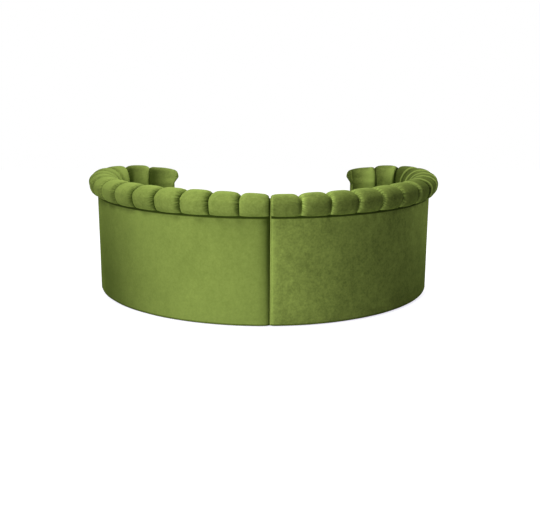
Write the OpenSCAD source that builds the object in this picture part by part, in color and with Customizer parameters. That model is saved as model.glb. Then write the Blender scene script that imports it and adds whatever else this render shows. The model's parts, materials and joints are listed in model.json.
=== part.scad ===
// Curved dining sofa in two mirror-image modules, channel tufted, with a rolled top.
// The origin is the middle of the footprint on the floor. The backs face -Y and
// the opening faces +Y. The two modules meet on the plane x = 0.
// Every module is drawn about the centre of its round back, as the right-hand one.

/* [Plan] */
// Radius of the round back, to the foot of the outer wall
back_radius = 1296; // [1100:2:1500]
// Angle that one module's round back covers
back_angle = 92.2; // [86:0.1:96]
// Radius of the tight corner between the back and the arm
corner_radius = 260; // [230:5:300]
// Straight length of the arm's outer wall
arm_length = 305; // [240:1:400]
// Gap between the two modules
module_gap = 6; // [4:1:12]
// Depth from the outer wall to the front of the seat base
seat_reach = 660; // [600:5:720]
// Radius to which the wall tightens beside the joining side
join_radius = 240; // [200:5:300]
// Width of the wall that tightens there
join_width = 82; // [60:1:100]

/* [Heights] */
// Height of the outer wall, up to the underside of the roll
wall_height = 742; // [680:2:800]
// Height of the top of the seat deck
deck_height = 330; // [280:2:380]
// Thickness of the seat cushion at its edges
cushion_height = 138; // [100:2:170]
// Height of the cushion's crown above its edges
cushion_crown = 14; // [6:1:24]
// Height of the gap between floor and dust cover
floor_gap = 5; // [4:1:12]
// Height of the cover's hem above the floor
hem_height = 3; // [2:0.5:4]

/* [Padded back] */
// Thickness of the padded back at seat level
back_thickness = 190; // [175:1:210]
// Depth of the hollow frame behind the padding
frame_depth = 102; // [90:1:120]
// How much wider a corner channel is than a channel of the round back
corner_channel_share = 1.074; // [1:0.002:1.15]
// Width of the gathered channel at the end of the arm
end_channel_width = 198; // [170:1:220]
// How far a seam is drawn in below the crest of a channel
seam_depth = 22; // [10:1:28]
// Fullness of a channel, from 1.6 for a round one to 4 for a square one
channel_fullness = 2.6; // [1.6:0.1:4]

/* [Roll] */
// How far the roll stands out past the top of the wall
roll_overhang = 61; // [45:1:75]
// Height of the roll's widest line above its underside
roll_waist = 82; // [70:1:95]
// Height of the roll's crest above its underside
roll_height = 151; // [135:1:180]
// How far the crest lies inside the roll's widest line
crest_setback = 106; // [80:1:125]
// Thickness of the roll from its crest line to the inner face
crest_to_face = 130; // [110:1:145]
// Height above the roll's underside where the inner face turns down
face_turn = 18; // [10:1:40]
// How far the roll stands out past the end of the arm
end_overhang = 38; // [25:1:50]
// How far the roll's crest settles towards the end of the arm
end_settle = 24; // [10:1:35]
// How far the crest settles where the modules meet
join_settle = 20; // [0:1:30]
// Length over which the crest rises again from there
settle_length = 600; // [300:10:900]

/* [Boards and cloth] */
// Thickness of the velvet cover with its lining
cover_thickness = 2; // [1:0.5:4]
// Thickness of the bent plywood skins of the back
skin_thickness = 6; // [4:0.5:9]
// Thickness of the plywood frame panels
ply_thickness = 18; // [15:1:22]
// Thickness of the bent board at the front of the seat
front_board_thickness = 12; // [9:1:16]
// Thickness of the padded panel that closes the joining side
side_panel_thickness = 4; // [3:1:8]
// Thickness of the dust cover under the frame
dust_cover_thickness = 1; // [0.5:0.5:2]
// Thickness of the elastic webbing
webbing_thickness = 1.6; // [1.2:0.2:2.4]
// Width of one webbing strap
webbing_width = 70; // [50:5:80]
// Number of webbing straps in one seat
webbing_count = 12; // [8:1:13]
// Width of the plywood left round the open well of the seat deck
deck_border = 60; // [50:5:80]

/* [Fittings] */
// Diameter of a floor glide
glide_diameter = 40; // [30:1:50]
// Diameter of a glide's stem
glide_stem = 8; // [6:1:10]
// Depth of a glide's stem in the base board
glide_stem_depth = 12; // [8:1:14]
// Width of the steel tongue that joins the modules
tongue_width = 40; // [30:1:50]
// Thickness of the tongue
tongue_thickness = 6; // [4:0.5:8]
// How far the tongue reaches into the other module
tongue_reach = 60; // [40:2:80]
// Thickness of the steel plates that carry tongue and socket
plate_thickness = 3; // [2:0.5:5]
// Diameter of the fixing screws
screw_diameter = 4; // [3:0.5:5]
// Length of the fixing screws
screw_length = 15; // [12:1:18]

/* [Clearances] */
// Clearance between pieces that are assembled
fit = 0.3; // [0.2:0.05:0.5]
// Clearance round the sliding tongue
slide_fit = 0.5; // [0.4:0.1:0.9]
// Clearance between the seat cushion and the padded back
cushion_fit = 2; // [1:0.5:4]

/* [Hidden] */
$fn = 96;
velvet = "#7f9449";
plywood = "#c9a878";
felt = "#2b2b2b";
steel = "#9a9da1";
nylon = "#3a3a3a";

// Plan, about the centre of the round back
corner_angle = 180 - back_angle;
back_length = back_radius * back_angle * PI / 180;
corner_length = corner_radius * corner_angle * PI / 180;
wall_length = back_length + corner_length + arm_length;
start_angle = -90;
end_angle = start_angle + back_angle;
corner_centre = (back_radius - corner_radius) * [cos(end_angle), sin(end_angle)];
arm_end = corner_centre.x - arm_length;
front_radius = back_radius - seat_reach;
side_line = corner_centre.y + corner_radius - back_thickness;
join_plane = module_gap / 2 + side_panel_thickness;
far_out = back_radius * 2;
// Circle of the tightened wall beside the joint: a little large, so that it meets the
// round back at a slight angle, and the radius that it leaves at the joining side
join_lift = 0.3;
join_centre = (back_radius - join_radius) / back_radius
    * [join_width, -sqrt(back_radius * back_radius - join_width * join_width)];
join_reach = sqrt(pow(join_radius + join_lift, 2) - pow(join_centre.x, 2)) - join_centre.y;
// How far a cutting shape runs past what it cuts
cut = 1;

// Heights
board_bottom = floor_gap + dust_cover_thickness;
board_top = board_bottom + ply_thickness;
rib_top = deck_height - ply_thickness;
rail_bottom = wall_height - ply_thickness;
cushion_bottom = deck_height + webbing_thickness + fit;
cushion_edge = cushion_bottom + cushion_height;

// Layers of the back, measured inwards from the wall line
skin_in = cover_thickness + skin_thickness;
frame_start = skin_in + fit;
panel_face = frame_depth + skin_thickness;
padding_back = panel_face + fit;
// Distance from the arm's end to the pieces behind its end panel
frame_end = cover_thickness + ply_thickness + 2 * fit;
// The open well of the seat deck, between two radii
well_start = front_radius + cover_thickness + front_board_thickness + deck_border;
well_end = back_radius - back_thickness - deck_border;
// Share of a strap's pitch that is left free before the first and after the last strap
strap_margin = 0.75;
dust_cover_inset = 12;

// Roll
waist_height = wall_height + roll_waist;
crest_height = wall_height + roll_height;
face_height = wall_height + face_turn;
crest_line = roll_overhang - crest_setback;

// Channels: ten round the back, three round the corner and the gathered one
back_channels = 10;
corner_channels = 3;
channel_count = back_channels + corner_channels + 1;
channel_steps = [0, 0.07, 0.22, 0.5, 0.78, 0.93, 1];
channel_width = (wall_length + join_plane - end_channel_width)
    / (back_channels + corner_channels * corner_channel_share);
back_seam = back_channels * channel_width - join_plane;
corner_channel_width = corner_channel_share * channel_width;
function seam(k) =
    k == 0 ? 0
    : k <= back_channels ? k * channel_width - join_plane
    : k < channel_count ? back_seam + (k - back_channels) * corner_channel_width
    : wall_length;

// The gathered end: share of the last channel's width and of the settling there
end_steps = [[0.5, 0.1], [0.65, 0.28], [0.82, 0.58], [1, 1]];
// Its rings past the arm's end: share of the overhang and of the roll's size
tip_rings = [[0.45, 0.9], [0.8, 0.64], [1, 0.22]];
tip_core = [-panel_face / 2, wall_height + 0.7 * roll_waist];
tip_blend = 50;

// The module's lowest and highest y, so that the footprint's middle is the origin
lowest_y = min([for (t = channel_steps)
    -(back_radius + roll_overhang - drawn_in(t)) * cos(t * seam(1) / back_radius * 180 / PI)]);
highest_y = corner_centre.y + corner_radius + roll_overhang;
centre_y = -(lowest_y + highest_y) / 2;

// Frame ribs stand under every second seam of the round back
rib_stations = [for (k = [2:2:back_channels]) seam(k)];
post_stations = [for (k = [back_channels + 1:channel_count - 1]) seam(k)];
rib_hole = 120;
post_hole = 50;
post_hole_margin = 100;

// Connectors: distance of each from the centre of the round back
back_connector_inset = 70;
front_connector_inset = 130;
connector_radii = [back_radius - back_connector_inset, front_radius + front_connector_inset];
plate_length = 100;
plate_margin = 22;
plate_width = tongue_width + 2 * plate_margin;
plate_start = 14;
screw_inset = 12;
plate_screws = [for (x = [screw_inset, plate_length - screw_inset], side = [-1, 1])
    [plate_start + x, side * (plate_width - plate_margin) / 2]];
screw_head_height = 2.5;
screw_tip = 2;
slot_margin = 4;
socket_wall = 3;
socket_length = tongue_reach + 10;
tongue_lift = 1;
tongue_taper = 12;
tongue_root = 6;
tongue_tail = plate_length - 30;

// Glides: along the wall, then along the seat front, then at the arm
glide_inset = 50;
glide_bevel = 2;
wall_glides = [0.055, 0.3, 0.56, 0.8, 0.97];
front_glides = [0.09, 0.52, 0.93];
glide_places = concat(
    [for (share = wall_glides) let (s = share * wall_length) wall_point(s) - glide_inset * outward(s)],
    [for (share = front_glides) let (a = start_angle + share * back_angle)
        (front_radius + glide_inset) * [cos(a), sin(a)]]);

side_parts = ["back_cover", "back_shell", "frame_ribs", "inner_panel", "top_rail", "base_board",
    "seat_deck", "webbing", "seat_front_board", "seat_front_cover", "seat_cushion", "glides",
    "dust_cover", "side_panel", "connector_screws"];
channel_names = [for (n = [1:channel_count]) str("channel_", n < 10 ? "0" : "", n)];

// Direction that points out of the wall at station s along it
function wall_angle(s) =
    s < back_length ? start_angle + s / back_radius * 180 / PI
    : s < back_length + corner_length ? end_angle + (s - back_length) / corner_radius * 180 / PI
    : 90;
function outward(s) = [cos(wall_angle(s)), sin(wall_angle(s))];

// Foot of the wall at station s along it
function wall_point(s) =
    s < back_length ? back_radius * outward(s)
    : s < back_length + corner_length ? corner_centre + corner_radius * outward(s)
    : corner_centre + [back_length + corner_length - s, corner_radius];

// Point at station s, distance out from the wall line and height
function place(s, p) = let (w = wall_point(s) + p[0] * outward(s)) [w.x, w.y, p[1]];

// How far a channel is drawn in at share t of its width
function drawn_in(t) = seam_depth * (1 - sqrt(1 - pow(abs(2 * t - 1), channel_fullness)));

function arc_points(centre, radii, from, to, steps) =
    [for (i = [0:steps]) let (a = from + (to - from) * i / steps)
        centre + [radii[0] * cos(a), radii[1] * sin(a)]];

// How far the crest has settled at station s
function settling(s) = join_settle * pow(max(0, 1 - s / settle_length), 2);

// Outline of the padding, drawn in by d and settled: the roll, then the face down to the deck
function roll_outline(d, low = 0) = concat(
    arc_points([0, waist_height], [roll_overhang - d, roll_waist], -90, 0, 3),
    arc_points([crest_line, waist_height],
        [crest_setback - d, crest_height - waist_height - d - low], 22.5, 90, 3),
    arc_points([crest_line, face_height], [crest_to_face - d, crest_height - face_height - d - low],
        112.5, 180, 3));
function padding_outline(d, low = 0) = concat(roll_outline(d, low), [
    [-back_thickness + 0.5 * d, cushion_edge],
    [-back_thickness, deck_height],
    [-padding_back, deck_height],
    [-padding_back, wall_height]]);

// The gathered end moves the roll but not the face below it
function blend(z) = max(0, min(1, (z - face_height) / tip_blend));
function settled(p, amount) = let (size = amount / (crest_height - waist_height))
    p - blend(p[1]) * size * (p - tip_core);
function tip_point(p, reach, size) = let (q = tip_core + size * (settled(p, end_settle) - tip_core))
    place(wall_length, q) - [reach * end_overhang * max(0.1, blend(p[1])), 0, 0];

// Faces of a tube of rings with n points each, from the ring that starts at point first
function tube_faces(n, rings, first = 0) = [for (k = [0:rings - 2], i = [0:n - 1], half = [0, 1])
    let (a = first + k * n + i, b = first + k * n + (i + 1) % n)
        half == 0 ? [a, b, b + n] : [a, b + n, a + n]];

// Ends of a tube, as triangles that meet at the ring's last point
function start_faces(n) = [for (i = [0:n - 3]) [n - 1, i + 1, i]];
function end_faces(n, rings) = let (first = (rings - 1) * n)
    [for (i = [0:n - 3]) [first + n - 1, first + i, first + i + 1]];

module channel(index) {
    width = seam(index + 1) - seam(index);
    rings = [for (t = channel_steps) let (s = seam(index) + t * width)
        [for (p = padding_outline(drawn_in(t), settling(s))) place(s, p)]];
    n = len(rings[0]);
    color(velvet) polyhedron(
        [for (ring = rings) each ring],
        concat(start_faces(n), tube_faces(n, len(rings)), end_faces(n, len(rings))));
}

// The last channel is gathered round the free end of the arm: the roll stands out past
// the end and closes in a soft cap, and the face below it ends flush
module end_channel() {
    start = seam(channel_count - 1);
    rings = concat(
        [for (t = [for (t = channel_steps) if (t < 0.5) t]) [for (p = padding_outline(drawn_in(t)))
            place(start + t * end_channel_width, p)]],
        [for (step = end_steps) [for (p = padding_outline(0))
            place(start + step[0] * end_channel_width, settled(p, step[1] * end_settle))]]);
    n = len(rings[0]);
    last = (len(rings) - 1) * n;
    roll = len(roll_outline(0));
    m = roll + 1;
    first = len(rings) * n;
    edge = concat([for (i = [0:roll - 1]) i], [n - 1]);
    outline = padding_outline(0);
    tips = [for (r = tip_rings) [for (i = edge) tip_point(outline[i], r[0], r[1])]];
    core = first + m * len(tips);
    color(velvet) polyhedron(
        concat([for (ring = rings) each ring], [for (ring = tips) each ring],
            [place(wall_length, tip_core) - [end_overhang, 0, 0]]),
        concat(
            start_faces(n),
            tube_faces(n, len(rings)),
            [for (i = [roll - 1:n - 3]) [last + n - 1, last + i, last + i + 1]],
            [for (j = [0:m - 1], half = [0, 1]) let (a = last + edge[j], b = last + edge[(j + 1) % m])
                half == 0 ? [a, b, first + (j + 1) % m] : [a, first + (j + 1) % m, first + j]],
            tube_faces(m, len(tips), first),
            [for (j = [0:m - 1]) [core - m + j, core - m + (j + 1) % m, core]]));
}

// A profile of distance out and height, made thick and stood across the wall at station s
module across_wall(s, thickness) {
    translate(wall_point(s))
        rotate([90, 0, wall_angle(s)])
            translate([0, 0, -thickness / 2])
                linear_extrude(thickness) children();
}

// Everything inside the wall line, set in by a depth. The wall and what lies close behind
// it are drawn in a little beside the joint, where the velvet is pulled round the edge
module inside_wall(depth) {
    difference() {
        intersection() {
            circle(back_radius - depth, $fn = 360);
            polygon([[0, 0], [0, -far_out], [far_out, -far_out],
                far_out * [cos(end_angle), sin(end_angle)]]);
        }
        if (depth <= frame_start)
            difference() {
                translate([-cut, -far_out])
                    square([join_width + cut, far_out + join_centre.y]);
                translate(join_centre)
                    circle(join_radius + join_lift - depth, $fn = 240);
            }
    }
    translate(corner_centre)
        circle(corner_radius - depth, $fn = 180);
    translate([0, corner_centre.y - corner_radius])
        square([corner_centre.x, 2 * corner_radius - depth]);
}

// Plan of the seat and arm base, set in from the wall, the front, the side and the arm end
module base_plan(wall_in, front_in, side_in, end_in) {
    difference() {
        inside_wall(wall_in);
        circle(front_radius + front_in, $fn = 240);
        translate([-cut, side_line - side_in])
            square([arm_end + end_in + cut, far_out]);
    }
}

// Upright layer that follows the wall between two depths, up to short of the arm's end
module wall_layer(outer, inner, bottom, top, short = 0) {
    translate([0, 0, bottom])
        linear_extrude(top - bottom)
            difference() {
                inside_wall(outer);
                inside_wall(inner);
                translate([-cut, corner_centre.y])
                    square([arm_end + short + cut, far_out]);
            }
}

// Outline of the arm's end, deep at the seat and shallow behind the padding
module arm_end_outline(outer, bottom) {
    polygon([
        [-outer, bottom],
        [-outer, wall_height],
        [-panel_face, wall_height],
        [-panel_face, deck_height],
        [-back_thickness, deck_height],
        [-back_thickness, bottom]]);
}

module at_arm_end(inset) {
    translate([arm_end + inset, corner_centre.y + corner_radius, 0])
        rotate([90, 0, 90]) children();
}

module back_cover() {
    color(velvet) union() {
        wall_layer(0, cover_thickness, hem_height, wall_height);
        at_arm_end(0)
            linear_extrude(cover_thickness)
                arm_end_outline(cover_thickness / 2, hem_height);
    }
}

module back_shell() {
    color(plywood)
        wall_layer(cover_thickness + fit / 2, skin_in, board_bottom, wall_height, cover_thickness + fit);
}

// Upright part of a rib, behind the padding
module post_outline() {
    difference() {
        translate([-frame_depth + fit, board_top])
            square([frame_depth - frame_start - fit, rail_bottom - board_top]);
        for (z = [deck_height + post_hole_margin, rail_bottom - post_hole_margin])
            translate([-frame_depth / 2, z])
                circle(d = post_hole, $fn = 48);
    }
}

module rib_outline() {
    union() {
        post_outline();
        difference() {
            translate([-seat_reach + cover_thickness + front_board_thickness + 2 * fit, board_top])
                square([seat_reach - frame_depth - front_board_thickness - cover_thickness - fit,
                    rib_top - board_top]);
            for (share = [0.35, 0.65])
                translate([-frame_depth - share * (seat_reach - frame_depth), (board_top + rib_top) / 2])
                    circle(d = rib_hole, $fn = 96);
        }
    }
}

module frame_ribs() {
    color(plywood) {
        for (s = rib_stations) across_wall(s, ply_thickness) rib_outline();
        for (s = post_stations) across_wall(s, ply_thickness) post_outline();
        arm_end_panel();
    }
}

// Stepped board that closes the end of the arm
module arm_end_panel() {
    at_arm_end(cover_thickness + fit)
        linear_extrude(ply_thickness)
            arm_end_outline(frame_start, board_top);
}

module inner_panel() {
    color(plywood)
        wall_layer(frame_depth, panel_face, deck_height, wall_height, frame_end);
}

module top_rail() {
    color(plywood)
        wall_layer(frame_start, frame_depth - fit, rail_bottom, wall_height, frame_end);
}

module base_board() {
    color(plywood) difference() {
        translate([0, 0, board_bottom])
            linear_extrude(ply_thickness)
                base_plan(frame_start, cover_thickness + fit, cover_thickness + fit, cover_thickness + fit);
        for (p = glide_places)
            translate([p.x, p.y, board_bottom - cut])
                cylinder(d = glide_stem + 2 * fit, h = glide_stem_depth + cut + fit);
        at_connector_screws()
            translate([0, 0, board_top - screw_length])
                cylinder(d = screw_diameter + 2 * fit, h = screw_length + cut, $fn = 32);
    }
}

module dust_cover() {
    color(felt) translate([0, 0, floor_gap])
        linear_extrude(dust_cover_thickness)
            difference() {
                base_plan(frame_start + dust_cover_inset, dust_cover_inset, dust_cover_inset,
                    dust_cover_inset);
                for (p = glide_places) translate(p) circle(d = glide_stem + 2 * fit);
            }
}

module seat_deck() {
    color(plywood) translate([0, 0, rib_top])
        linear_extrude(ply_thickness)
            difference() {
                base_plan(frame_depth + fit, cover_thickness + fit, cover_thickness + fit, frame_end);
                difference() {
                    intersection() {
                        circle(well_end, $fn = 360);
                        translate([deck_border, -far_out]) square(far_out);
                    }
                    circle(well_start, $fn = 240);
                }
            }
}

// Straps that cross the open well of the deck, like spokes
module webbing() {
    color(felt) for (i = [0:webbing_count - 1])
        rotate(start_angle + (i + strap_margin) * back_angle / (webbing_count + strap_margin))
            translate([well_start - deck_border / 2, -webbing_width / 2, deck_height])
                cube([well_end - well_start + deck_border, webbing_width, webbing_thickness]);
}

module seat_front_board() {
    thick = front_board_thickness + cover_thickness;
    color(plywood) translate([0, 0, board_top])
        linear_extrude(rib_top - board_top)
            difference() {
                base_plan(frame_start, cover_thickness + fit, cover_thickness + fit, cover_thickness);
                base_plan(-ply_thickness, thick, thick, cover_thickness);
            }
}

module seat_front_cover() {
    color(velvet) translate([0, 0, hem_height])
        linear_extrude(deck_height - hem_height)
            difference() {
                base_plan(frame_start, 0, 0, 0);
                base_plan(-ply_thickness, cover_thickness, cover_thickness, 0);
            }
}

// Rows of the seat cushion: each is a front point, a back point and a drop of its top
cushion_overhang = 6;
cushion_front = front_radius - cushion_overhang;
cushion_back = back_radius - back_thickness - cushion_fit;
cushion_corner = corner_radius - back_thickness - cushion_fit;
cushion_end_angle = asin((corner_centre.y + cushion_corner) / cushion_front);
end_drop = 20;
back_rows = [0, 0.008, 0.03, 0.1, 0.18, 0.26, 0.34, 0.42, 0.5, 0.58, 0.66, 0.74, 0.82, 0.91, 1];
corner_rows = [0.2, 0.4, 0.6, 0.78, 0.92, 1];
function row_drop(share) = end_drop * pow(max(0, 1 - share), 2);
cushion_rows = concat(
    [for (t = back_rows) let (a = start_angle + t * back_angle)
        [cushion_front * [cos(a), sin(a)], cushion_back * [cos(a), sin(a)], row_drop(t / 0.03)]],
    [for (t = corner_rows)
        let (a = end_angle + t * (cushion_end_angle - end_angle), b = end_angle + t * corner_angle)
        [cushion_front * [cos(a), sin(a)], corner_centre + cushion_corner * [cos(b), sin(b)],
            row_drop((1 - t) / 0.22)]]);

// Outline of the cushion across the seat: w is its depth there
front_round = 42;
back_round = 14;
side_tuck = 5;
function cushion_outline(w, drop) = let (h = cushion_height) concat(
    [[side_tuck + 3, 0], [w - side_tuck, 0], [w, 0.3 * h]],
    arc_points([w - back_round, h - drop - back_round], [back_round, back_round], 0, 60, 1),
    [for (f = [0.85, 0.68, 0.5, 0.32, 0.17])
        [f * w, h - drop + (cushion_crown - 0.6 * drop) * (1 - pow(2 * f - 1, 2))]],
    arc_points([front_round, h - drop - front_round], [front_round, front_round], 100, 180, 3),
    [[side_tuck, 0.3 * h]]);

module seat_cushion() {
    rings = [for (row = cushion_rows)
        let (w = norm(row[1] - row[0]), along = (row[1] - row[0]) / w)
            [for (p = cushion_outline(w, row[2]))
                let (q = row[0] + p[0] * along) [q.x, q.y, cushion_bottom + p[1]]]];
    n = len(rings[0]);
    color(velvet) polyhedron(
        [for (ring = rings) each ring],
        concat(start_faces(n), tube_faces(n, len(rings)), end_faces(n, len(rings))));
}

module glides() {
    color(nylon) for (p = glide_places)
        translate([p.x, p.y, 0])
            rotate_extrude()
                polygon([
                    [0, 0], [glide_diameter / 2 - glide_bevel, 0], [glide_diameter / 2, glide_bevel],
                    [glide_diameter / 2, floor_gap], [glide_stem / 2, floor_gap],
                    [glide_stem / 2, board_bottom + glide_stem_depth],
                    [0, board_bottom + glide_stem_depth]]);
}

// Padded panel with the outline of the whole seat, which closes the joining side
module side_panel() {
    slot_gap = slide_fit + slot_margin;
    slot = [tongue_width + 2 * slot_gap, tongue_thickness + 2 * slot_gap];
    color(velvet) rotate([90, 0, -90])
        linear_extrude(side_panel_thickness)
            difference() {
                polygon(concat(
                    [[join_reach, hem_height], [join_reach, wall_height]],
                    [for (p = roll_outline(seam_depth, join_settle)) [back_radius + p[0], p[1]]],
                    [[cushion_back, cushion_edge - end_drop],
                        [front_radius + front_round, cushion_edge - end_drop],
                        [front_radius, cushion_edge - end_drop - front_round],
                        [front_radius, hem_height]]));
                for (r = connector_radii)
                    translate([r - slot[0] / 2, board_top + plate_thickness + tongue_lift - slot_gap])
                        square(slot);
            }
}

// Draws its children at each connector, with x away from the joining side
module at_connectors() {
    for (r = connector_radii)
        translate([0, -r, board_top]) children();
}

module at_connector_screws() {
    for (r = connector_radii)
        for (c = plate_screws)
            translate([c.x, c.y - r, 0]) children();
}

module screw_plate() {
    difference() {
        translate([plate_start, -plate_width / 2, 0])
            cube([plate_length, plate_width, plate_thickness]);
        for (c = plate_screws)
            translate([c.x, c.y, -cut])
                cylinder(d = screw_diameter + 2 * fit, h = plate_thickness + 2 * cut, $fn = 32);
    }
}

module connector_tongues() {
    tip = -2 * join_plane - tongue_reach;
    tail = plate_start + tongue_tail;
    color(steel) at_connectors() union() {
        screw_plate();
        translate([0, 0, plate_thickness + tongue_lift])
            linear_extrude(tongue_thickness)
                polygon([
                    [tip, -tongue_width / 4], [tip + tongue_taper, -tongue_width / 2],
                    [tail, -tongue_width / 2], [tail, tongue_width / 2],
                    [tip + tongue_taper, tongue_width / 2], [tip, tongue_width / 4]]);
        translate([plate_start + tongue_root, -tongue_width / 2, plate_thickness / 2])
            cube([tongue_tail - tongue_root, tongue_width,
                plate_thickness / 2 + tongue_lift + tongue_thickness / 2]);
    }
}

module connector_sockets() {
    hole = [tongue_width + 2 * slide_fit, tongue_thickness + 2 * slide_fit];
    hole_bottom = plate_thickness + tongue_lift - slide_fit;
    color(steel) at_connectors() difference() {
        union() {
            screw_plate();
            translate([plate_start, -hole[0] / 2 - socket_wall, plate_thickness / 2])
                cube([socket_length, hole[0] + 2 * socket_wall,
                    hole_bottom - plate_thickness / 2 + hole[1] + socket_wall]);
        }
        translate([plate_start - cut, -hole[0] / 2, hole_bottom])
            cube([socket_length + 2 * cut, hole[0], hole[1]]);
    }
}

module connector_screws() {
    head = screw_diameter;
    color(steel) at_connector_screws()
        translate([0, 0, board_top + plate_thickness])
            rotate_extrude($fn = 32)
                polygon([[0, fit - screw_length], [screw_diameter / 2, screw_tip + fit - screw_length],
                    [screw_diameter / 2, 0], [head, 0], [head, screw_head_height / 2],
                    [screw_diameter / 2, screw_head_height], [0, screw_head_height]]);
}

// Stands a module's pieces in their place, on the right or as its mirror image on the left
module right_module() {
    translate([join_plane, centre_y, 0]) children();
}
module left_module() {
    mirror([1, 0, 0]) right_module() children();
}

module piece(name) {
    for (i = [0:channel_count - 2]) if (name == channel_names[i]) channel(i);
    if (name == channel_names[channel_count - 1]) end_channel();
    if (name == "back_cover") back_cover();
    if (name == "back_shell") back_shell();
    if (name == "frame_ribs") frame_ribs();
    if (name == "inner_panel") inner_panel();
    if (name == "top_rail") top_rail();
    if (name == "base_board") base_board();
    if (name == "seat_deck") seat_deck();
    if (name == "webbing") webbing();
    if (name == "seat_front_board") seat_front_board();
    if (name == "seat_front_cover") seat_front_cover();
    if (name == "seat_cushion") seat_cushion();
    if (name == "glides") glides();
    if (name == "dust_cover") dust_cover();
    if (name == "side_panel") side_panel();
    if (name == "connector_screws") connector_screws();
}

for (name = concat(channel_names, side_parts)) {
    left_module() piece(name);
    right_module() piece(name);
}
left_module() connector_sockets();  // left_connector_sockets
right_module() connector_tongues();  // right_connector_tongues
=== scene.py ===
# %% [markdown]
# # A curved dining sofa in green velvet
#
# The sofa stands round a table in two mirror-image modules. We see it from behind: a smooth
# velvet wall, a fat roll of sewn channels along the top, and a dark gap where the modules meet.
# The joiner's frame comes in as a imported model, and this notebook dresses it: channels,
# covers, seat cushions, and the finish of every board and fitting.

# %% Load the frame
import json
import math

import bpy
import mathutils
import numpy as np
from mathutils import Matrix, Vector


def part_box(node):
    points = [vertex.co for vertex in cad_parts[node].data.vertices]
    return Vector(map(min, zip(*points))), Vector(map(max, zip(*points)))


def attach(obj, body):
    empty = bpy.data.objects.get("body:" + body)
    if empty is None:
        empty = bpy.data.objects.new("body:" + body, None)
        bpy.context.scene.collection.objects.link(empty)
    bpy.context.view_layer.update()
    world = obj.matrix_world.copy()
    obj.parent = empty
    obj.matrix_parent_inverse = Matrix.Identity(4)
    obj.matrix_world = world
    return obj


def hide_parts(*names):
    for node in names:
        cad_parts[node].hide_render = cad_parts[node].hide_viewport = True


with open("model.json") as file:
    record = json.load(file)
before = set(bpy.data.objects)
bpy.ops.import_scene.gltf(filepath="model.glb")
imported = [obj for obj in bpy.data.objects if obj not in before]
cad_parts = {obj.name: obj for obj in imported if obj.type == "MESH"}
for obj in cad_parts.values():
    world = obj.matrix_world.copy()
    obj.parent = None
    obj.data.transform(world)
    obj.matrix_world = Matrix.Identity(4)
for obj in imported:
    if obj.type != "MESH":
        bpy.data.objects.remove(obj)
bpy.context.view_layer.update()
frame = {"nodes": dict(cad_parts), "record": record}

# %% [markdown]
# ## The plan of the sofa
#
# An upholsterer works along the wall, so the shapes here do too: a station `s` is a distance
# along the foot of the wall, counted from the joint, and a point stands `out` from the wall
# line at height `z`. Where a size can be read from the frame, it is; the rest are the
# maker's own dimensions, in metres.

# %% Sizes of the plan and heights
BACK_RADIUS = 1.296                  # the round back
BACK_ANGLE = math.radians(92.2)      # its sweep on each side of the joint
CORNER_RADIUS = 0.260                # the tight corner before the arm
ARM_LENGTH = 0.305                   # the straight arm
SEAT_REACH = 0.660                   # from the back of the wall to the seat's front
BACK_THICKNESS = 0.190               # wall and padding together
PADDING_BACK = 0.1083                # where the padding starts, behind the wall line
JOIN_RADIUS = 0.240                  # the tighter bend of the wall beside the joint
JOIN_WIDTH = 0.082                   # and how far it runs

START = -math.pi / 2
END = START + BACK_ANGLE
BACK_LENGTH = BACK_RADIUS * BACK_ANGLE
CORNER_LENGTH = CORNER_RADIUS * (math.pi - BACK_ANGLE)
WALL_LENGTH = BACK_LENGTH + CORNER_LENGTH + ARM_LENGTH
CORNER_CENTRE = (BACK_RADIUS - CORNER_RADIUS) * np.array([math.cos(END), math.sin(END)])
FRONT_RADIUS = BACK_RADIUS - SEAT_REACH

cover_low, cover_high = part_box("right_back_cover")
JOIN_PLANE = cover_low[0]
HEM_HEIGHT = cover_low[2]
WALL_HEIGHT = cover_high[2]
CENTRE_Y = cover_high[1] - CORNER_CENTRE[1] - CORNER_RADIUS
DECK_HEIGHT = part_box("right_seat_deck")[1][2]
print(f"wall {WALL_LENGTH:.3f} m long and {WALL_HEIGHT:.3f} m high, centre at y {CENTRE_Y:.4f}")


# %% Walk along the wall
def wall_line(s):
    """Foot of the wall and the direction out of it at stations s: an arc of BACK_RADIUS
    about the centre, then a tight arc of CORNER_RADIUS that completes the half turn,
    then the straight arm, which runs back along -x."""
    s = np.asarray(s, float)
    turn = np.where(s < BACK_LENGTH, START + s / BACK_RADIUS,
                    np.minimum(END + (s - BACK_LENGTH) / CORNER_RADIUS, math.pi / 2))
    outward = np.stack([np.cos(turn), np.sin(turn)], axis=-1)
    on_back = (s < BACK_LENGTH)[..., None]
    along_arm = np.maximum(s - BACK_LENGTH - CORNER_LENGTH, 0)[..., None]
    past_back = CORNER_CENTRE + CORNER_RADIUS * outward - along_arm * np.array([1.0, 0.0])
    return np.where(on_back, BACK_RADIUS * outward, past_back), outward


def stand(s, out, z, side):
    """Points at stations s, standing out from the wall line at height z, in the sofa's
    frame: the wall point plus out times the outward direction. side is 1 for the
    right-hand module and -1 for its mirror image."""
    s, out, z = np.broadcast_arrays(s, out, z)
    foot, outward = wall_line(s)
    flat = foot + out[..., None] * outward
    return on_side(flat[..., 0], flat[..., 1], z, side)


def on_side(x, y, z, side):
    """Moves plan points from the centre of the round back to their place in the sofa."""
    return np.stack([side * (x + JOIN_PLANE), y + CENTRE_Y, z + 0 * x], axis=-1)
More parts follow.
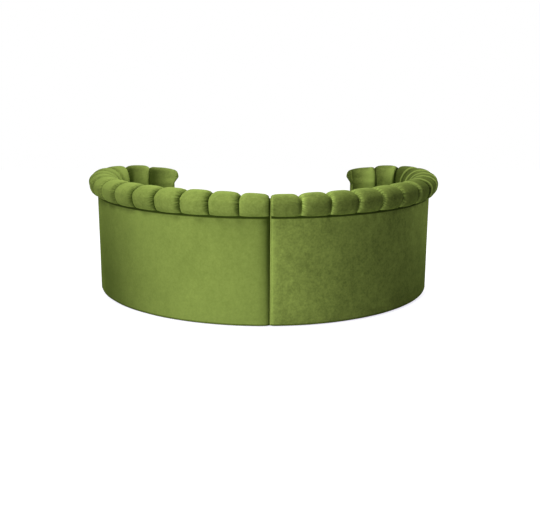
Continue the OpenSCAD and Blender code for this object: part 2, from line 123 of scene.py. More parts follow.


# %% [markdown]
# ## From arrays to meshes
#
# Every new piece is a grid of points, worked out in one go as a whole array. Pushing points
# about by hand would give the same shapes, but none of them could be changed afterwards, and
# a formula can. These helpers turn such an array into a mesh, with optional values for each
# point, which say how much light and shade is painted into the velvet's colour there, and
# where its pile is pressed flat. Two curves are used all through this notebook: a ramp and a bell.


# %% Two curves
def ramp(x, start, end):
    """Goes evenly from 0 at start to 1 at end, and stays level outside them."""
    return np.clip((x - start) / (end - start), 0, 1)


def bell(x, middle, width):
    """A bell curve: e to the power of minus the square of (x - middle) / width."""
    return np.exp(-(((x - middle) / width) ** 2))


# %% Mesh helpers
SHARP = math.radians(50)             # edges that turn more than this stay crisp


def grid_faces(rows, columns, closed=False):
    """Four-sided faces of a grid of rows x columns points; a closed grid joins its last
    column to its first."""
    index = np.arange(rows * columns).reshape(rows, columns)
    if closed:
        index = np.concatenate([index, index[:, :1]], axis=1)
    corners = [index[:-1, :-1], index[1:, :-1], index[1:, 1:], index[:-1, 1:]]
    return np.stack(corners, axis=-1).reshape(-1, 4)


def add_mesh(name, points, faces, body, material, turned=False, values=None):
    """Builds a mesh from points (n, 3) and a list of face arrays (m, corners), gives it its
    material, and lets it ride on its body. turned faces run the other way round."""
    points = np.asarray(points, np.float32).reshape(-1, 3)
    faces = [np.asarray(f, np.int32) for f in faces]
    if turned:
        faces = [f[:, ::-1] for f in faces]
    loops = np.concatenate([f.reshape(-1) for f in faces])
    sizes = np.concatenate([np.full(len(f), f.shape[1]) for f in faces])
    starts = np.concatenate([[0], np.cumsum(sizes)[:-1]])
    mesh = bpy.data.meshes.new(name)
    mesh.vertices.add(len(points))
    mesh.vertices.foreach_set("co", points.reshape(-1))
    mesh.loops.add(len(loops))
    mesh.loops.foreach_set("vertex_index", loops)
    mesh.polygons.add(len(sizes))
    mesh.polygons.foreach_set("loop_start", starts.astype(np.int32))
    mesh.update(calc_edges=True)
    mesh.validate()
    for key, value in (values or {}).items():
        layer = mesh.attributes.new(key, "FLOAT", "POINT")
        layer.data.foreach_set("value", np.asarray(value, np.float32).reshape(-1))
    mesh.polygons.foreach_set("use_smooth", np.ones(len(sizes), bool))
    mesh.set_sharp_from_angle(angle=SHARP)
    piece = bpy.data.objects.new(name, mesh)
    bpy.context.scene.collection.objects.link(piece)
    piece.data.materials.append(material)
    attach(piece, body)
    return piece


# %% Normals of a grid
def normals_of(grid):
    """Unit normals of a grid of points: the cross product of its two directions."""
    across = np.gradient(grid, axis=0)
    along = np.gradient(grid, axis=1)
    normal = np.cross(across, along)
    return normal / np.maximum(np.linalg.norm(normal, axis=-1, keepdims=True), 1e-12)


def painted_slope_light(grid, side):
    """Painted light and shade from a skin's slopes, -1 to 1. grid holds (s, out, height);
    a slope that faces -s on the right module or +s on the left one, which along the back
    faces left, towards the lamps there, is painted pale, and the opposite slope dark."""
    return side * normals_of(grid)[..., 0]


# %% [markdown]
# ## Velvet
#
# The cloth is a cut-pile cotton velvet: two cloths are woven at once, face to face, and the
# threads between them are cut, which leaves short upright fibres on a woven ground. It has
# no gloss, but the fibre tips catch light where the surface turns away, so folds and rims
# glow and the middle stays deep. That is a rough dielectric with a strong tinted sheen; a
# coat of real hair would give the same, at thousands of times the cost. Hands and the loom
# leave the pile lying in soft clouds, a few centimetres wide, over a fine grain.

# %% Material helpers
MM = 0.001


def rgb(code):
    """Linear colour of an sRGB hex code such as #7F9449."""
    values = [int(code[i:i + 2], 16) / 255 for i in (1, 3, 5)]
    return [v / 12.92 if v <= 0.04045 else ((v + 0.055) / 1.055) ** 2.4 for v in values] + [1.0]


def node(tree, kind, feeds=None, **settings):
    """Adds one node. settings are its own properties; feeds says what each input gets:
    another node's output, an sRGB hex colour or a plain value."""
    new = tree.nodes.new(kind)
    for name, value in settings.items():
        setattr(new, name, value)
    for name, value in (feeds or {}).items():
        if isinstance(value, bpy.types.NodeSocket):
            tree.links.new(value, new.inputs[name])
        else:
            new.inputs[name].default_value = rgb(value) if isinstance(value, str) else value
    return new


def new_material(name, **sockets):
    """A material with one Principled shader, whose sockets are set directly."""
    material = bpy.data.materials.new(name)
    material.use_nodes = True
    shader = material.node_tree.nodes["Principled BSDF"]
    for socket, value in sockets.items():
        shader.inputs[socket.replace("_", " ")].default_value = value
    return material, material.node_tree, shader


# %% Patterns and relief
def clouds(tree, size, detail=3.0, stretch=(1, 1, 1), seed=0.0):
    """Soft noise in Object coordinates whose clouds are about size metres wide: at scale 1 a
    noise has one pale and one dark cloud to the metre. Its middle, 0.3 to 0.7, is spread
    to the whole of 0 to 1."""
    place = node(tree, "ShaderNodeTexCoord").outputs["Object"]
    shifted = node(tree, "ShaderNodeMapping", {"Vector": place, "Location": (seed, seed, seed),
                                               "Scale": stretch}).outputs[0]
    noise = node(tree, "ShaderNodeTexNoise", {"Vector": shifted, "Scale": 0.5 / size,
                                              "Detail": detail, "Roughness": 0.6}).outputs["Fac"]
    spread = node(tree, "ShaderNodeMapRange", {"Value": noise, "From Min": 0.3, "From Max": 0.7})
    return spread.outputs[0]


def surface(tree, shader, colour, relief, strength, height):
    """Gives a shader its colour, and the fine relief of its surface in metres of height."""
    tree.links.new(colour, shader.inputs["Base Color"])
    bump = node(tree, "ShaderNodeBump", {"Height": relief, "Strength": strength, "Distance": height})
    tree.links.new(bump.outputs[0], shader.inputs["Normal"])


# %% The velvet itself
PAINTED_HIGHLIGHT = "#B3CB66"                # painted highlight, where light would catch the fibres' sides and tips
PAINTED_SHADE = "#2C3A0A"               # painted shade, where shade would fall between the fibres
CRUSHED_PILE_AND_SHADE = "#2F3D0E"             # pile pressed flat at a seam, and painted shade in grooves and under the roll
CLOUDS = ((90, 0.6, 0.3), (18, 0.9, 0.3), (7, 1.0, 0.4))     # millimetres, stretch, share


def velvet(name, deep, light, seed, sheen=0.3):
    """Cut-pile velvet: clouds 90 mm and 18 mm wide where the pile leans one way or the
    other, drawn out upwards, and a grain drawn at 7 mm (the real tufts are near 1 mm, too
    fine to show here). Then each point's values paint light and shade into the colour:
    one makes it paler or darker, a painted highlight pales the crests of gathers and
    pleats, where the pile opens, and the last darkens the pile pressed flat at a seam and
    paints shade in grooves, valleys and creases."""
    material, tree, shader = new_material(
        name, Roughness=0.92, IOR=1.45, Specular_IOR_Level=0.04,
        Sheen_Weight=sheen, Sheen_Roughness=0.42, Sheen_Tint=rgb("#B4D25A"))
    lean = 0.0
    for size, stretch, share in CLOUDS:
        patch = clouds(tree, size * MM, 3, (1, 1, stretch), seed + size)
        lean = node(tree, "ShaderNodeMath", {0: patch, 1: share, 2: lean},
                    operation="MULTIPLY_ADD").outputs[0]
    # Painted light and shade, painted highlight on crests, and pressed pile with painted shade
    painted_light, fold, seam = (node(tree, "ShaderNodeAttribute", attribute_name=key).outputs["Fac"]
                       for key in ("painted_light", "fold", "seam"))
    pale, dark = (node(tree, "ShaderNodeMath", {0: painted_light, 1: share}, operation="MULTIPLY",
                       use_clamp=True).outputs[0] for share in (0.75, -0.85))
    layers = ((lean, light), (pale, PAINTED_HIGHLIGHT), (dark, PAINTED_SHADE), (fold, PAINTED_HIGHLIGHT), (seam, CRUSHED_PILE_AND_SHADE))
    colour = deep
    for share, tone in layers:
        colour = node(tree, "ShaderNodeMix", {0: share, 6: colour, 7: tone}, data_type="RGBA").outputs[2]
    surface(tree, shader, colour, lean, 0.35, 1.5 * MM)
    return material


# %% The sofa's velvets
# All are one moss green velvet. On the left module we look along the pile, which hides its
# clouds; on the right one we look against it, and they show twice as strongly
velvets = {"left": velvet("moss velvet along the pile", "#72833C", "#8C9E4D", 0.0),
           "right": velvet("moss velvet against the pile", "#5B682F", "#9CAF56", 3.0)}
# Stretched over foam, the left roll's pile stands up more, and its clouds show a little
roll_velvets = {"left": velvet("moss velvet of the roll", "#677736", "#94A652", 1.0),
                "right": velvets["right"]}
# Sat on, brushed both ways, so it has the even look of the left module
seat_velvet = velvet("moss velvet of the seat", "#72833C", "#8C9E4D", 7.0)
# Where the modules press on each other the pile is rubbed flat, and loses its sheen; its
# darker colour is painted shade, for the gap between them
rubbed_shaded_velvet = velvet("velvet rubbed flat between the modules, painted in shade", "#3C4A16", "#4A5A20", 5.0, sheen=0.05)
# Round the joint's edges it bends, and is painted: dark as shade on the left, pale as light on the right
painted_edge_velvets = {"left": velvet("velvet of the joint's edge, painted shade", "#1E2A06", "#2A380A", 9.0, sheen=0.0),
                "right": velvet("velvet of the joint's edge, painted light", "#8D9E4A", "#A9BB5F", 9.0)}
made = [*velvets.values(), roll_velvets["left"], seat_velvet, rubbed_shaded_velvet, *painted_edge_velvets.values()]
print("velvets:", [material.name for material in made])

# %% [markdown]
# ## The channels
#
# A channel is a strip of foam in a sewn sleeve of velvet. It is tacked in the crease under
# the roll, goes up round the outside, over the crest and down the inner face to the seat.
# The seams on its two long edges draw it in, and between them it swells. One could sculpt
# such a pillow and copy it, but no two here have the same bend. Its section is three
# quarter ellipses and a nearly straight face, so the whole skin is a function of two
# parameters, `u` across the channel and `t` along the section, bent along the wall.

# %% Sizes of the roll and the channels
ROLL_OVERHANG = 0.061                # how far the roll stands out past the wall
ROLL_WAIST = 0.082                   # from the crease up to its widest line
ROLL_HEIGHT = 0.151                  # from the crease up to the crest
CREST_SETBACK = 0.106                # from the widest line in to the crest
CREST_TO_FACE = 0.130                # from the crest in to the inner face
FACE_TURN = 0.018                    # where the face starts, above the wall
END_OVERHANG = 0.038                 # how far the gathered end stands past the arm
END_SETTLE = 0.024                   # how far the end's crest sinks
JOIN_SETTLE = 0.020                  # how far the crest sinks at the joint
SETTLE_LENGTH = 0.600                # and over what length
MORE_SETTLE = 0.007                  # the right module's back sinks a little more
CUSHION_EDGE = 0.4699                # top of the seat cushion's edge
SEAM_DEPTH = 0.034                   # how far a seam draws the skin in
JOINT_DEPTH = 0.38                   # share of it at the joint, where nothing is sewn on
FULLNESS = 3.3                       # how square the pillow is between its seams
SAG = 0.007                          # how far its underside hangs

BACK_CHANNELS = 10
CHANNELS = 14
END_CHANNEL_WIDTH = 0.198
CORNER_SHARE = 1.074                 # the corner's channels are this much wider
CHANNEL_WIDTH = (WALL_LENGTH + JOIN_PLANE - END_CHANNEL_WIDTH) / (BACK_CHANNELS + 3 * CORNER_SHARE)
back_seams = CHANNEL_WIDTH * np.arange(1, BACK_CHANNELS + 1) - JOIN_PLANE
corner_seams = back_seams[-1] + CORNER_SHARE * CHANNEL_WIDTH * np.arange(1, 4)
SEAMS = np.concatenate([[0.0], back_seams, corner_seams, [WALL_LENGTH]])
CREST_LINE = ROLL_OVERHANG - CREST_SETBACK
print("channel widths, mm:", np.round(np.diff(SEAMS) * 1000, 1))


# %% Section of a channel
def skin_section(t, drawn, low, sag):
    """(out, height) of the skin at t: 0-1 is a quarter ellipse from the crease to the
    roll's widest line, 1-2 one from there to the crest, 2-3 one from the crest to the inner
    face, 3-4 the face down to the cushion, 4-5 the rest down to the deck. A seam draws all
    of it in by drawn; the crest settles by low, and the pillow's underside hangs by sag."""
    t, drawn, low, sag = np.broadcast_arrays(t, drawn, low, sag)
    turn = math.pi / 2 * (t - 1)
    cosine, sine = np.cos(turn), np.sin(turn)
    waist = WALL_HEIGHT + ROLL_WAIST
    face = WALL_HEIGHT + FACE_TURN
    crest = WALL_HEIGHT + ROLL_HEIGHT - low
    down = t - 3
    foot = t - 4
    parts = [t <= 1, t <= 2, t <= 3, t <= 4]
    hang = sag * np.sin(math.pi * np.clip(t, 0, 1) ** 0.55) ** 0.8
    face_out = -BACK_THICKNESS + 0.5 * drawn
    out = np.select(parts, [
        (ROLL_OVERHANG - drawn) * cosine,
        CREST_LINE + (CREST_SETBACK - drawn) * cosine,
        CREST_LINE + (CREST_TO_FACE - drawn) * cosine,
        (1 - down) * (CREST_LINE - CREST_TO_FACE + drawn) + down * face_out,
    ], -BACK_THICKNESS + 0.5 * drawn * (1 - foot))
    height = np.select(parts, [
        waist + ROLL_WAIST * sine - hang,
        waist + (crest - waist - drawn) * sine,
        face + (crest - face - drawn) * sine,
        (1 - down) * face + down * CUSHION_EDGE,
    ], (1 - foot) * CUSHION_EDGE + foot * DECK_HEIGHT)
    return out, height


def drawn_in(u):
    """How far the seams draw the skin in at share u of the width: nothing in the middle and
    SEAM_DEPTH at both seams, as a superellipse of degree FULLNESS."""
    return SEAM_DEPTH * (1 - np.sqrt(np.clip(1 - np.abs(2 * u - 1) ** FULLNESS, 0, 1)))


def settling(s, side):
    """How far the crest sinks towards the joint: a parabola that fades along the wall. The
    right module has been sat against more, and sinks MORE_SETTLE further along its back."""
    more = MORE_SETTLE * ramp(s, 0, 0.12) * ramp(s, 1.0, 0.6)
    return JOIN_SETTLE * ramp(s, SETTLE_LENGTH, 0) ** 2 + (more if side > 0 else 0)


# %% Sample the skin, finely where it folds
STEPS_ACROSS = 50
STEPS_ALONG = [62, 68, 84, 40, 12]
u_grid = (1 - np.cos(math.pi * np.linspace(0, 1, STEPS_ACROSS + 1))) / 2
t_grid = np.concatenate([k + np.arange(n) / n for k, n in enumerate(STEPS_ALONG)] + [[5.0]])
u_skin, t_skin = np.meshgrid(u_grid, t_grid, indexing="ij")
middle_out, middle_height = skin_section(t_grid, 0.0, 0.0, 0.0)
skin_length = np.concatenate([[0], np.cumsum(np.hypot(np.diff(middle_out), np.diff(middle_height)))])
print(f"skin: {len(u_grid)} x {len(t_grid)} points, {skin_length[-1]:.3f} m from crease to deck")

# %% [markdown]
# ## A cloth simulation for the padding
#
# Velvet is cut a little larger than the foam it covers. A noise texture could fake its
# slackness, but cloth pulls from seam to seam in a way that noise doesn't. So one straight
# channel is set up as a sheet whose four edges are pinned, grown by a few per cent and blown
# up with a light pressure, until it settles as the real thing does. Three such channels are
# simulated on a coarse grid, the result is smoothed onto the fine one, and twenty-six of
# the channels borrow from them. The seams stay exactly where they are, because they are
# pinned.


# %% Simulate a pinned, slightly oversized sheet
def simulate(grid, pinned, growth, pressure, frames, closed=False, caps=(), turned=False):
    """Moves a grid of points as cloth: edges in pinned stay, the cloth grows by growth and
    is pushed out by pressure with gravity off. Returns the points after the last frame."""
    rows, columns = grid.shape[:2]
    mesh = bpy.data.meshes.new("cloth_run")
    faces = grid_faces(rows, columns, closed)
    faces = (faces[:, ::-1] if turned else faces).tolist() + [list(map(int, c)) for c in caps]
    mesh.from_pydata(grid.reshape(-1, 3).tolist(), [], faces)
    mesh.update()
    sheet = bpy.data.objects.new("cloth_run", mesh)
    bpy.context.scene.collection.objects.link(sheet)
    group = sheet.vertex_groups.new(name="sewn")
    group.add(np.flatnonzero(pinned.reshape(-1)).tolist(), 1.0, "REPLACE")
    modifier = sheet.modifiers.new("cloth", "CLOTH")
    cloth = modifier.settings
    cloth.quality = 6
    cloth.mass = 0.3
    cloth.vertex_group_mass = "sewn"
    cloth.tension_stiffness = cloth.compression_stiffness = 20
    cloth.shear_stiffness = 5
    cloth.bending_stiffness = 0.4
    cloth.use_pressure = True
    cloth.uniform_pressure_force = pressure
    cloth.effector_weights.gravity = 0
    cloth.shrink_min = -growth
    modifier.collision_settings.use_collision = False
    modifier.point_cache.frame_start = 1
    modifier.point_cache.frame_end = frames
    for number in range(1, frames + 1):
        bpy.context.scene.frame_set(number)
    shown = sheet.evaluated_get(bpy.context.evaluated_depsgraph_get()).to_mesh()
    moved = np.empty(len(shown.vertices) * 3, np.float32)
    shown.vertices.foreach_get("co", moved)
    bpy.data.objects.remove(sheet)
    bpy.data.meshes.remove(mesh)
    bpy.context.scene.frame_set(1)
    return moved.reshape(grid.shape).astype(float)


def soften(fine, coarse, width):
    """Weights that carry values from coarse positions to fine ones: a bell curve of the
    given width round each fine position, whose weights add up to 1."""
    weights = bell(fine[:, None], coarse[None, :], width)
    return weights / weights.sum(axis=1, keepdims=True)


# %% Three slack channels
MOST_MOVE = 0.005
coarse_u = np.linspace(0, 1, 35)
coarse_t = np.linspace(0, 5, 131)


def slack_channel(seed):
    """How far cloth moves each point (x across, out, height) of a straight channel: at most
    MOST_MOVE, by a hyperbolic tangent, and faded to nothing at the seams."""
    u, t = np.meshgrid(coarse_u, coarse_t, indexing="ij")
    out, height = skin_section(t, drawn_in(u), 0.0, 0.0)
    rest = np.stack([(u - 0.5) * CHANNEL_WIDTH, out, height], axis=-1)
    start = rest.copy()
    start[1:-1, 1:-1] += np.random.default_rng(seed).normal(0, 0.0006, rest[1:-1, 1:-1].shape)
    pinned = np.ones(u.shape, bool)
    pinned[1:-1, 1:-1] = False
    move = simulate(start, pinned, growth=0.03, pressure=1.5, frames=20, turned=True) - rest
    size = np.maximum(np.linalg.norm(move, axis=-1, keepdims=True), 1e-9)
    move *= MOST_MOVE * np.tanh(size / MOST_MOVE) / size
    across = soften(u_grid, coarse_u, 0.035)
    along = soften(t_grid, coarse_t, 0.06)
    move = np.einsum("ui,ijk,tj->utk", across, move, along)
    from_seam = np.minimum(u_grid, 1 - u_grid)[:, None, None]
    return move * ramp(from_seam, 0, 0.14) * ramp(t_grid, 0, 0.5)[None, :, None]


slack = [slack_channel(seed) for seed in (1, 2, 3)]
print("cloth moved the channels by up to, mm:", [round(float(np.abs(m).max()) * 1000, 1) for m in slack])

# %% [markdown]
# ## Gathers beside the seams
#
# Where the sleeve goes round the roll, its outer edge is longer than the seam, so the
# upholsterer gathers it. The gathers are short ridges that run away from the seam nearest
# the joint and die out after two or three centimetres. Folds this fine are beyond a coarse
# simulation, so they are added to its result: each ridge is a bell curve along the section
# times a fading curve across the channel.

# %% Gathers
GATHERS_START = 0.035                # how far from the crease the strong gathers begin
# Spacing, height and reach of the gathers at each place, metres
STRONG = (0.0150, 0.0055, 0.030)
FAINT = (0.0160, 0.0020, 0.014)
ON_FACE = (0.0300, 0.0006, 0.020)


def gathers(across, first, last, kind, rng):
    """Height of gathers at distance across from a seam: ridges along the section from first
    to last, each a bell curve that fades over its own reach. They fan out from the middle
    of the seam, and are highest there, as the root of a half sine."""
    spacing, height, reach = kind
    count = int((last - first) / spacing)
    number = np.arange(count)
    centres = first + (number + rng.uniform(0.15, 0.85, count)) * (last - first) / count
    strength = height * rng.uniform(0.35, 1.0, count) * np.sin(math.pi * (number + 0.5) / count) ** 0.5
    lengths = reach * rng.uniform(0.5, 1.3, count)
    slants = 0.5 * np.linspace(-1, 1, count) + rng.uniform(-0.2, 0.2, count)
    widths = spacing * rng.uniform(0.22, 0.34, count)
    a = across[:, None, None]
    ridge = bell(skin_length[None, :, None], centres + slants * a, widths)
    fade = np.exp(-(a / lengths) ** 1.5) * ramp(a, 0, 0.003)
    return (strength * ridge * fade).sum(axis=-1)


def channel_folds(width, rng, share=1.0):
    """Gathers of one channel: strong ones at the seam nearest the joint (only a share of
    them at the joint itself), faint ones at the other, and hardly any on the inner face."""
    roll_end = skin_length[np.searchsorted(t_grid, 2.6)]
    near = u_grid * width
    far = (1 - u_grid) * width
    strong = gathers(near, GATHERS_START, roll_end, STRONG, rng)
    faint = gathers(far, 0.03, roll_end, FAINT, rng)
    face = gathers(near, roll_end, skin_length[-1] - 0.1, ON_FACE, rng)
    return share * strong + faint + face


trial = channel_folds(CHANNEL_WIDTH, np.random.default_rng(0))
print("highest gather of a channel, mm:", round(float(trial.max()) * 1000, 1))

# %% [markdown]
# ## Light and shade painted on the pile
#
# Velvet changes its tone with the way its pile leans to the light. Both modules stand in
# the same light, and yet the right one, seen against the pile, is darker and cloudier, with
# pale lines beside its seams, while the left one, seen along it, is paler and smooth, with
# dark seams. Lamps can't make that difference, and one cloth for both wouldn't show it. So
# the light and shade are painted: each point carries a value from -1 (painted shade) to 1
# (painted light), set by its place and by how its slopes face the light from the left.

# %% Light and shade painted on each module's channels
# Values run from -1, painted shade, to 1, painted light. Pairs are for the back and for the
# turn round the corner: the level of the roll, the shoulder beside the seam nearest the
# joint, the one beside the other seam, and the rim along the crest, a painted highlight.
# Then the inside of the corner, the arm's inside at a channel's first and last seam, how
# much more its first channel has, and how much a pale and a dark slope count.
CHANNEL_LIGHT_AND_SHADE = {
    "right": {"roll": (-0.34, -0.78), "near": (1.3, 1.8), "far": (0.9, -0.6), "rim": (0.95, 0.3),
              "inside": -0.75, "arm": (1.7, -0.9), "first": 0.35, "slope": (0.3, 0.4)},
    "left": {"roll": (-0.08, 0.35), "near": (-0.5, -0.3), "far": (0.2, 0.5), "rim": (0.65, 0.3),
             "inside": 0.4, "arm": (-1.4, 0.35), "first": 0.0, "slope": (0.1, 0.6)}}
TURN_START = SEAMS[5]                # where the turn's values begin to count
TURN_FADE = 0.35                     # and over what length they take over
SHOULDER = 0.05                      # width of a shoulder, as a share of the channel's
RIM_PLACE = 2.1                      # the rim's painted highlight lies just inside the crest


def painted_channel_light(side_name, s, u, t, lean):
    """Painted light and shade of a channel: the level of its place, a bell-shaped shoulder at
    each seam (the first is twice as wide along the back, and further in where the wall
    turns), a pale rim along the crest as a painted highlight and the painted light or shade
    of each slope; inside the arm it runs straight from seam to seam."""
    way = CHANNEL_LIGHT_AND_SHADE[side_name]
    turn = ramp(s, TURN_START, TURN_START + TURN_FADE)
    roll, near, far, rim = (way[key][0] + (way[key][1] - way[key][0]) * turn
                            for key in ("roll", "near", "far", "rim"))
    inner = ramp(t, 1.9, 2.4)
    roll = roll + (way["inside"] - roll) * ramp(s, SEAMS[9], SEAMS[9] + 0.15) * inner
    reach = SHOULDER * np.where(s < SEAMS[1], 1, 2 - turn)
    painted_light = roll + near * bell(u, 0.18 * turn, reach) + far * bell(1 - u, 0, SHOULDER)
    painted_light += rim * bell(t, RIM_PLACE, 0.4)
    painted_light += (way["slope"][0] + 0.5 * turn) * np.clip(lean, 0, 1)
    painted_light += (way["slope"][1] + 0.3 * turn) * np.clip(lean, -1, 0)
    across = way["arm"][0] + (way["arm"][1] - way["arm"][0]) * u + way["first"] * (s < SEAMS[13])
    on_arm = ramp(s, SEAMS[12], SEAMS[12] + 0.01) * inner
    return np.clip(painted_light + (across - painted_light) * on_arm, -1, 1)


# %% Painted light and shade for the velvet of a channel
HIDDEN_COLUMNS = 2                   # points of the channel's back, which have no values


def painted_values(side_name, index, folds, painted_light, width):
    """Values painted into the velvet's colour: fold, a painted highlight where a gather's
    crest opens the pile; seam, the larger of the line beside a seam (pile pressed flat at
    the stitch, and painted shade in its groove), painted shadow in the valleys between
    gathers and painted shade in the strip under the roll; and the painted light and shade
    as given."""
    near = (u_grid * width)[:, None]
    far = ((1 - u_grid) * width)[:, None]
    turn = ramp(index, 5, 7)
    # Painted shade beside the seam nearest the joint: how dark, and how wide
    deep, wide = {"right": (0.5 + 0.45 * turn, 0.003 + 0.018 * turn),
                  "left": (0.95, 0.006 + 0.002 * turn)}[side_name]
    # How much painted highlight the gathers' crests get, and painted shadow their valleys
    brightened, closed = {"right": (0.6, 0.5), "left": (0.2, 0.45 - 0.2 * turn)}[side_name]
    line = deep * bell(near, 0, wide) + 0.5 * bell(far, 0, 0.0015)
    on_roll = ramp(t_grid, 2.7, 2.3) * ramp(t_grid, 0.3, 0.6)
    valleys = closed * bell(near, 0, 0.024) * ramp(folds, 0.0022, 0) * on_roll
    # Painted shade on the roll's underside next to the crease
    under = 0.8 * ramp(t_grid, 0.20, 0.10)
    values = {"fold": brightened * ramp(folds, 0, 0.006), "painted_light": painted_light,
              "seam": np.maximum(np.maximum(line, valleys), under)}
    return {key: np.pad(value, ((0, 0), (0, HIDDEN_COLUMNS))) for key, value in values.items()}


# %% Build one channel
SIDES = {"right": 1, "left": -1}
BACK_OUTLINE = np.array([[-PADDING_BACK, DECK_HEIGHT], [-PADDING_BACK, WALL_HEIGHT]])


def close_ring(skin, s, side):
    """Adds the hidden back of the channel to its skin: the underside on the deck, and the
    back against the frame."""
    back = [stand(s, out, height, side)[:, None, :] for out, height in BACK_OUTLINE]
    return np.concatenate([skin] + back, axis=1)


def velvet_channel(index, side_name):
    """One of the channels between two seams, bent along the wall."""
    side = SIDES[side_name]
    rng = np.random.default_rng(100 * index + (1 if side > 0 else 2))
    width = SEAMS[index + 1] - SEAMS[index]
    u, t = u_skin, t_skin
    swell = 1 - np.abs(2 * u - 1) ** 4
    s = SEAMS[index] + u * width
    drawn = drawn_in(u) * (np.where(u < 0.5, JOINT_DEPTH, 1.0) if index == 0 else 1.0)
    out, height = skin_section(t, drawn, settling(s, side), SAG * swell * rng.uniform(0.8, 1.2))
    move = slack[int(rng.integers(3))]
    if rng.random() < 0.5:
        move = move[::-1] * np.array([-1, 1, 1])
    s = np.clip(s + move[..., 0] * width / CHANNEL_WIDTH, SEAMS[index], SEAMS[index + 1])
    flat = np.stack([s, out + move[..., 1], height + move[..., 2]], axis=-1)
    folds = channel_folds(width, rng, 0.3 if index == 0 else 1.0)
    flat = flat - folds[..., None] * normals_of(flat)
    flat[..., 0] = np.clip(flat[..., 0], SEAMS[index], SEAMS[index + 1])
    skin = stand(flat[..., 0], flat[..., 1], flat[..., 2], side)
    # Painted light and shade of the channel, from its place and the way its slopes face
    painted_light = painted_channel_light(side_name, flat[..., 0], u, t, painted_slope_light(flat, side))
    ring = close_ring(skin, SEAMS[index] + u_grid * width, side)
    rows, columns = ring.shape[:2]
    first_cap = np.arange(columns)[None, :]
    last_cap = (rows - 1) * columns + np.arange(columns)[None, ::-1]
    piece = add_mesh(f"{side_name}_channel_pad_{index + 1:02d}", ring,
                     [grid_faces(rows, columns, closed=True)[:, ::-1], first_cap, last_cap],
                     f"{side_name}_module", roll_velvets[side_name], turned=side > 0,
                     values=painted_values(side_name, index, folds, painted_light, width))
    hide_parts(f"{side_name}_channel_{index + 1:02d}")
    return piece


channels = [velvet_channel(i, name) for name in SIDES for i in range(CHANNELS - 1)]
print(len(channels), "channels of", len(channels[0].data.polygons), "faces each")

# %% [markdown]
# ## The gathered end of the arm
#
# The last channel has no neighbour. Its velvet is drawn over the end of the roll and
# gathered towards the middle of the end. A flat cap would look like a sawn log, and a half
# ball like a bolster, so the end closes in rings that shrink towards a core while they move
# out past the arm's end, with pleats that deepen inwards.

# %% Skin of the end channel
TIP_CORE = np.array([-PADDING_BACK / 2, WALL_HEIGHT + 0.7 * ROLL_WAIST])
TIP_BLEND = 0.05
FACE_EDGE = 0.009                    # how far the face's free edge is drawn in


def settled(points, amount):
    """Shrinks the roll, but not the face below it, towards its core by amount at the crest.
    The share eases in as 3x^2 - 2x^3 over the height TIP_BLEND."""
    share = ramp(points[..., 1:], WALL_HEIGHT + FACE_TURN, WALL_HEIGHT + FACE_TURN + TIP_BLEND)
    share = share * share * (3 - 2 * share)
    return points - share * amount / (ROLL_HEIGHT - ROLL_WAIST) * (points - TIP_CORE)


def end_skin(rng):
    """Skin of the end channel as (s, out, height), with its gathers: a seam on one side
    only, a free edge whose face is drawn in by a quarter circle, and a crest that sinks
    first by a quarter sine and then by a cube of u."""
    u, t = u_skin, t_skin
    drawn = np.where(u < 0.5, drawn_in(np.minimum(u, 0.5)), 0.0)
    drawn = drawn + FACE_EDGE * (1 - np.sqrt(1 - ramp(u, 0.94, 1.0) ** 2)) * ramp(t, 2.4, 3.4)
    out, height = skin_section(t, drawn, 0.0, 0.8 * SAG * (1 - np.abs(2 * u - 1) ** 4))
    sink = END_SETTLE * (0.4 * np.sin(math.pi / 2 * ramp(u, 0, 0.4)) + 0.6 * u ** 3)
    section = settled(np.stack([out, height], axis=-1), sink[..., None])
    s = SEAMS[CHANNELS - 1] + u * END_CHANNEL_WIDTH
    flat = np.concatenate([s[..., None], section], axis=-1)
    folds = channel_folds(END_CHANNEL_WIDTH, rng) * (1 - u_grid[:, None]) ** 0.5
    return flat - folds[..., None] * normals_of(flat), folds


# %% Cap of the end channel
CAP_RINGS = 34
PLEATS = 19
PLEAT_DEPTH = 0.12                   # share of the overhang that a pleat takes away
PLEAT_PULL = 0.10                    # and share of a ring's size


def cap_rings(rim, rng):
    """Rings of the cap as (s, out, height), with the height of their pleats and their
    sizes. A ring's size is a cosine and its reach past the arm a sine to the power 0.9; a
    pleat is the size of a sine round the rim, and deepens inwards."""
    theta = math.pi / 2 * np.linspace(0, 1, CAP_RINGS + 1)[1:-1]
    size, reach = np.cos(theta)[:, None], np.sin(theta)[:, None] ** 0.9
    around = np.cumsum(np.append(0, np.hypot(*np.diff(rim, axis=0).T)))
    turns = PLEATS * around / around[-1]
    uneven = rng.normal(0, 0.35, PLEATS + 2)[np.minimum(turns.astype(int), PLEATS)]
    pleat = np.abs(np.sin(math.pi * turns + uneven))[None, :]
    pleat = pleat * np.sin(np.clip(2.2 * (1 - size), 0, 1) * math.pi / 2)
    pulled = size * (1 - PLEAT_PULL * (1 - pleat) * (1 - size) ** 0.3)
    shape = TIP_CORE + pulled[..., None] * (rim - TIP_CORE)
    forward = END_OVERHANG * reach * (1 - PLEAT_DEPTH * (1 - pleat) * np.minimum(1, 3 * (1 - size)))
    share = np.clip((rim[:, 1] - WALL_HEIGHT) / (TIP_BLEND + FACE_TURN), 0.1, 1)
    share = share + (1 - share) * (1 - size)
    return np.concatenate([(WALL_LENGTH + forward * share)[..., None], shape], axis=-1), pleat, size


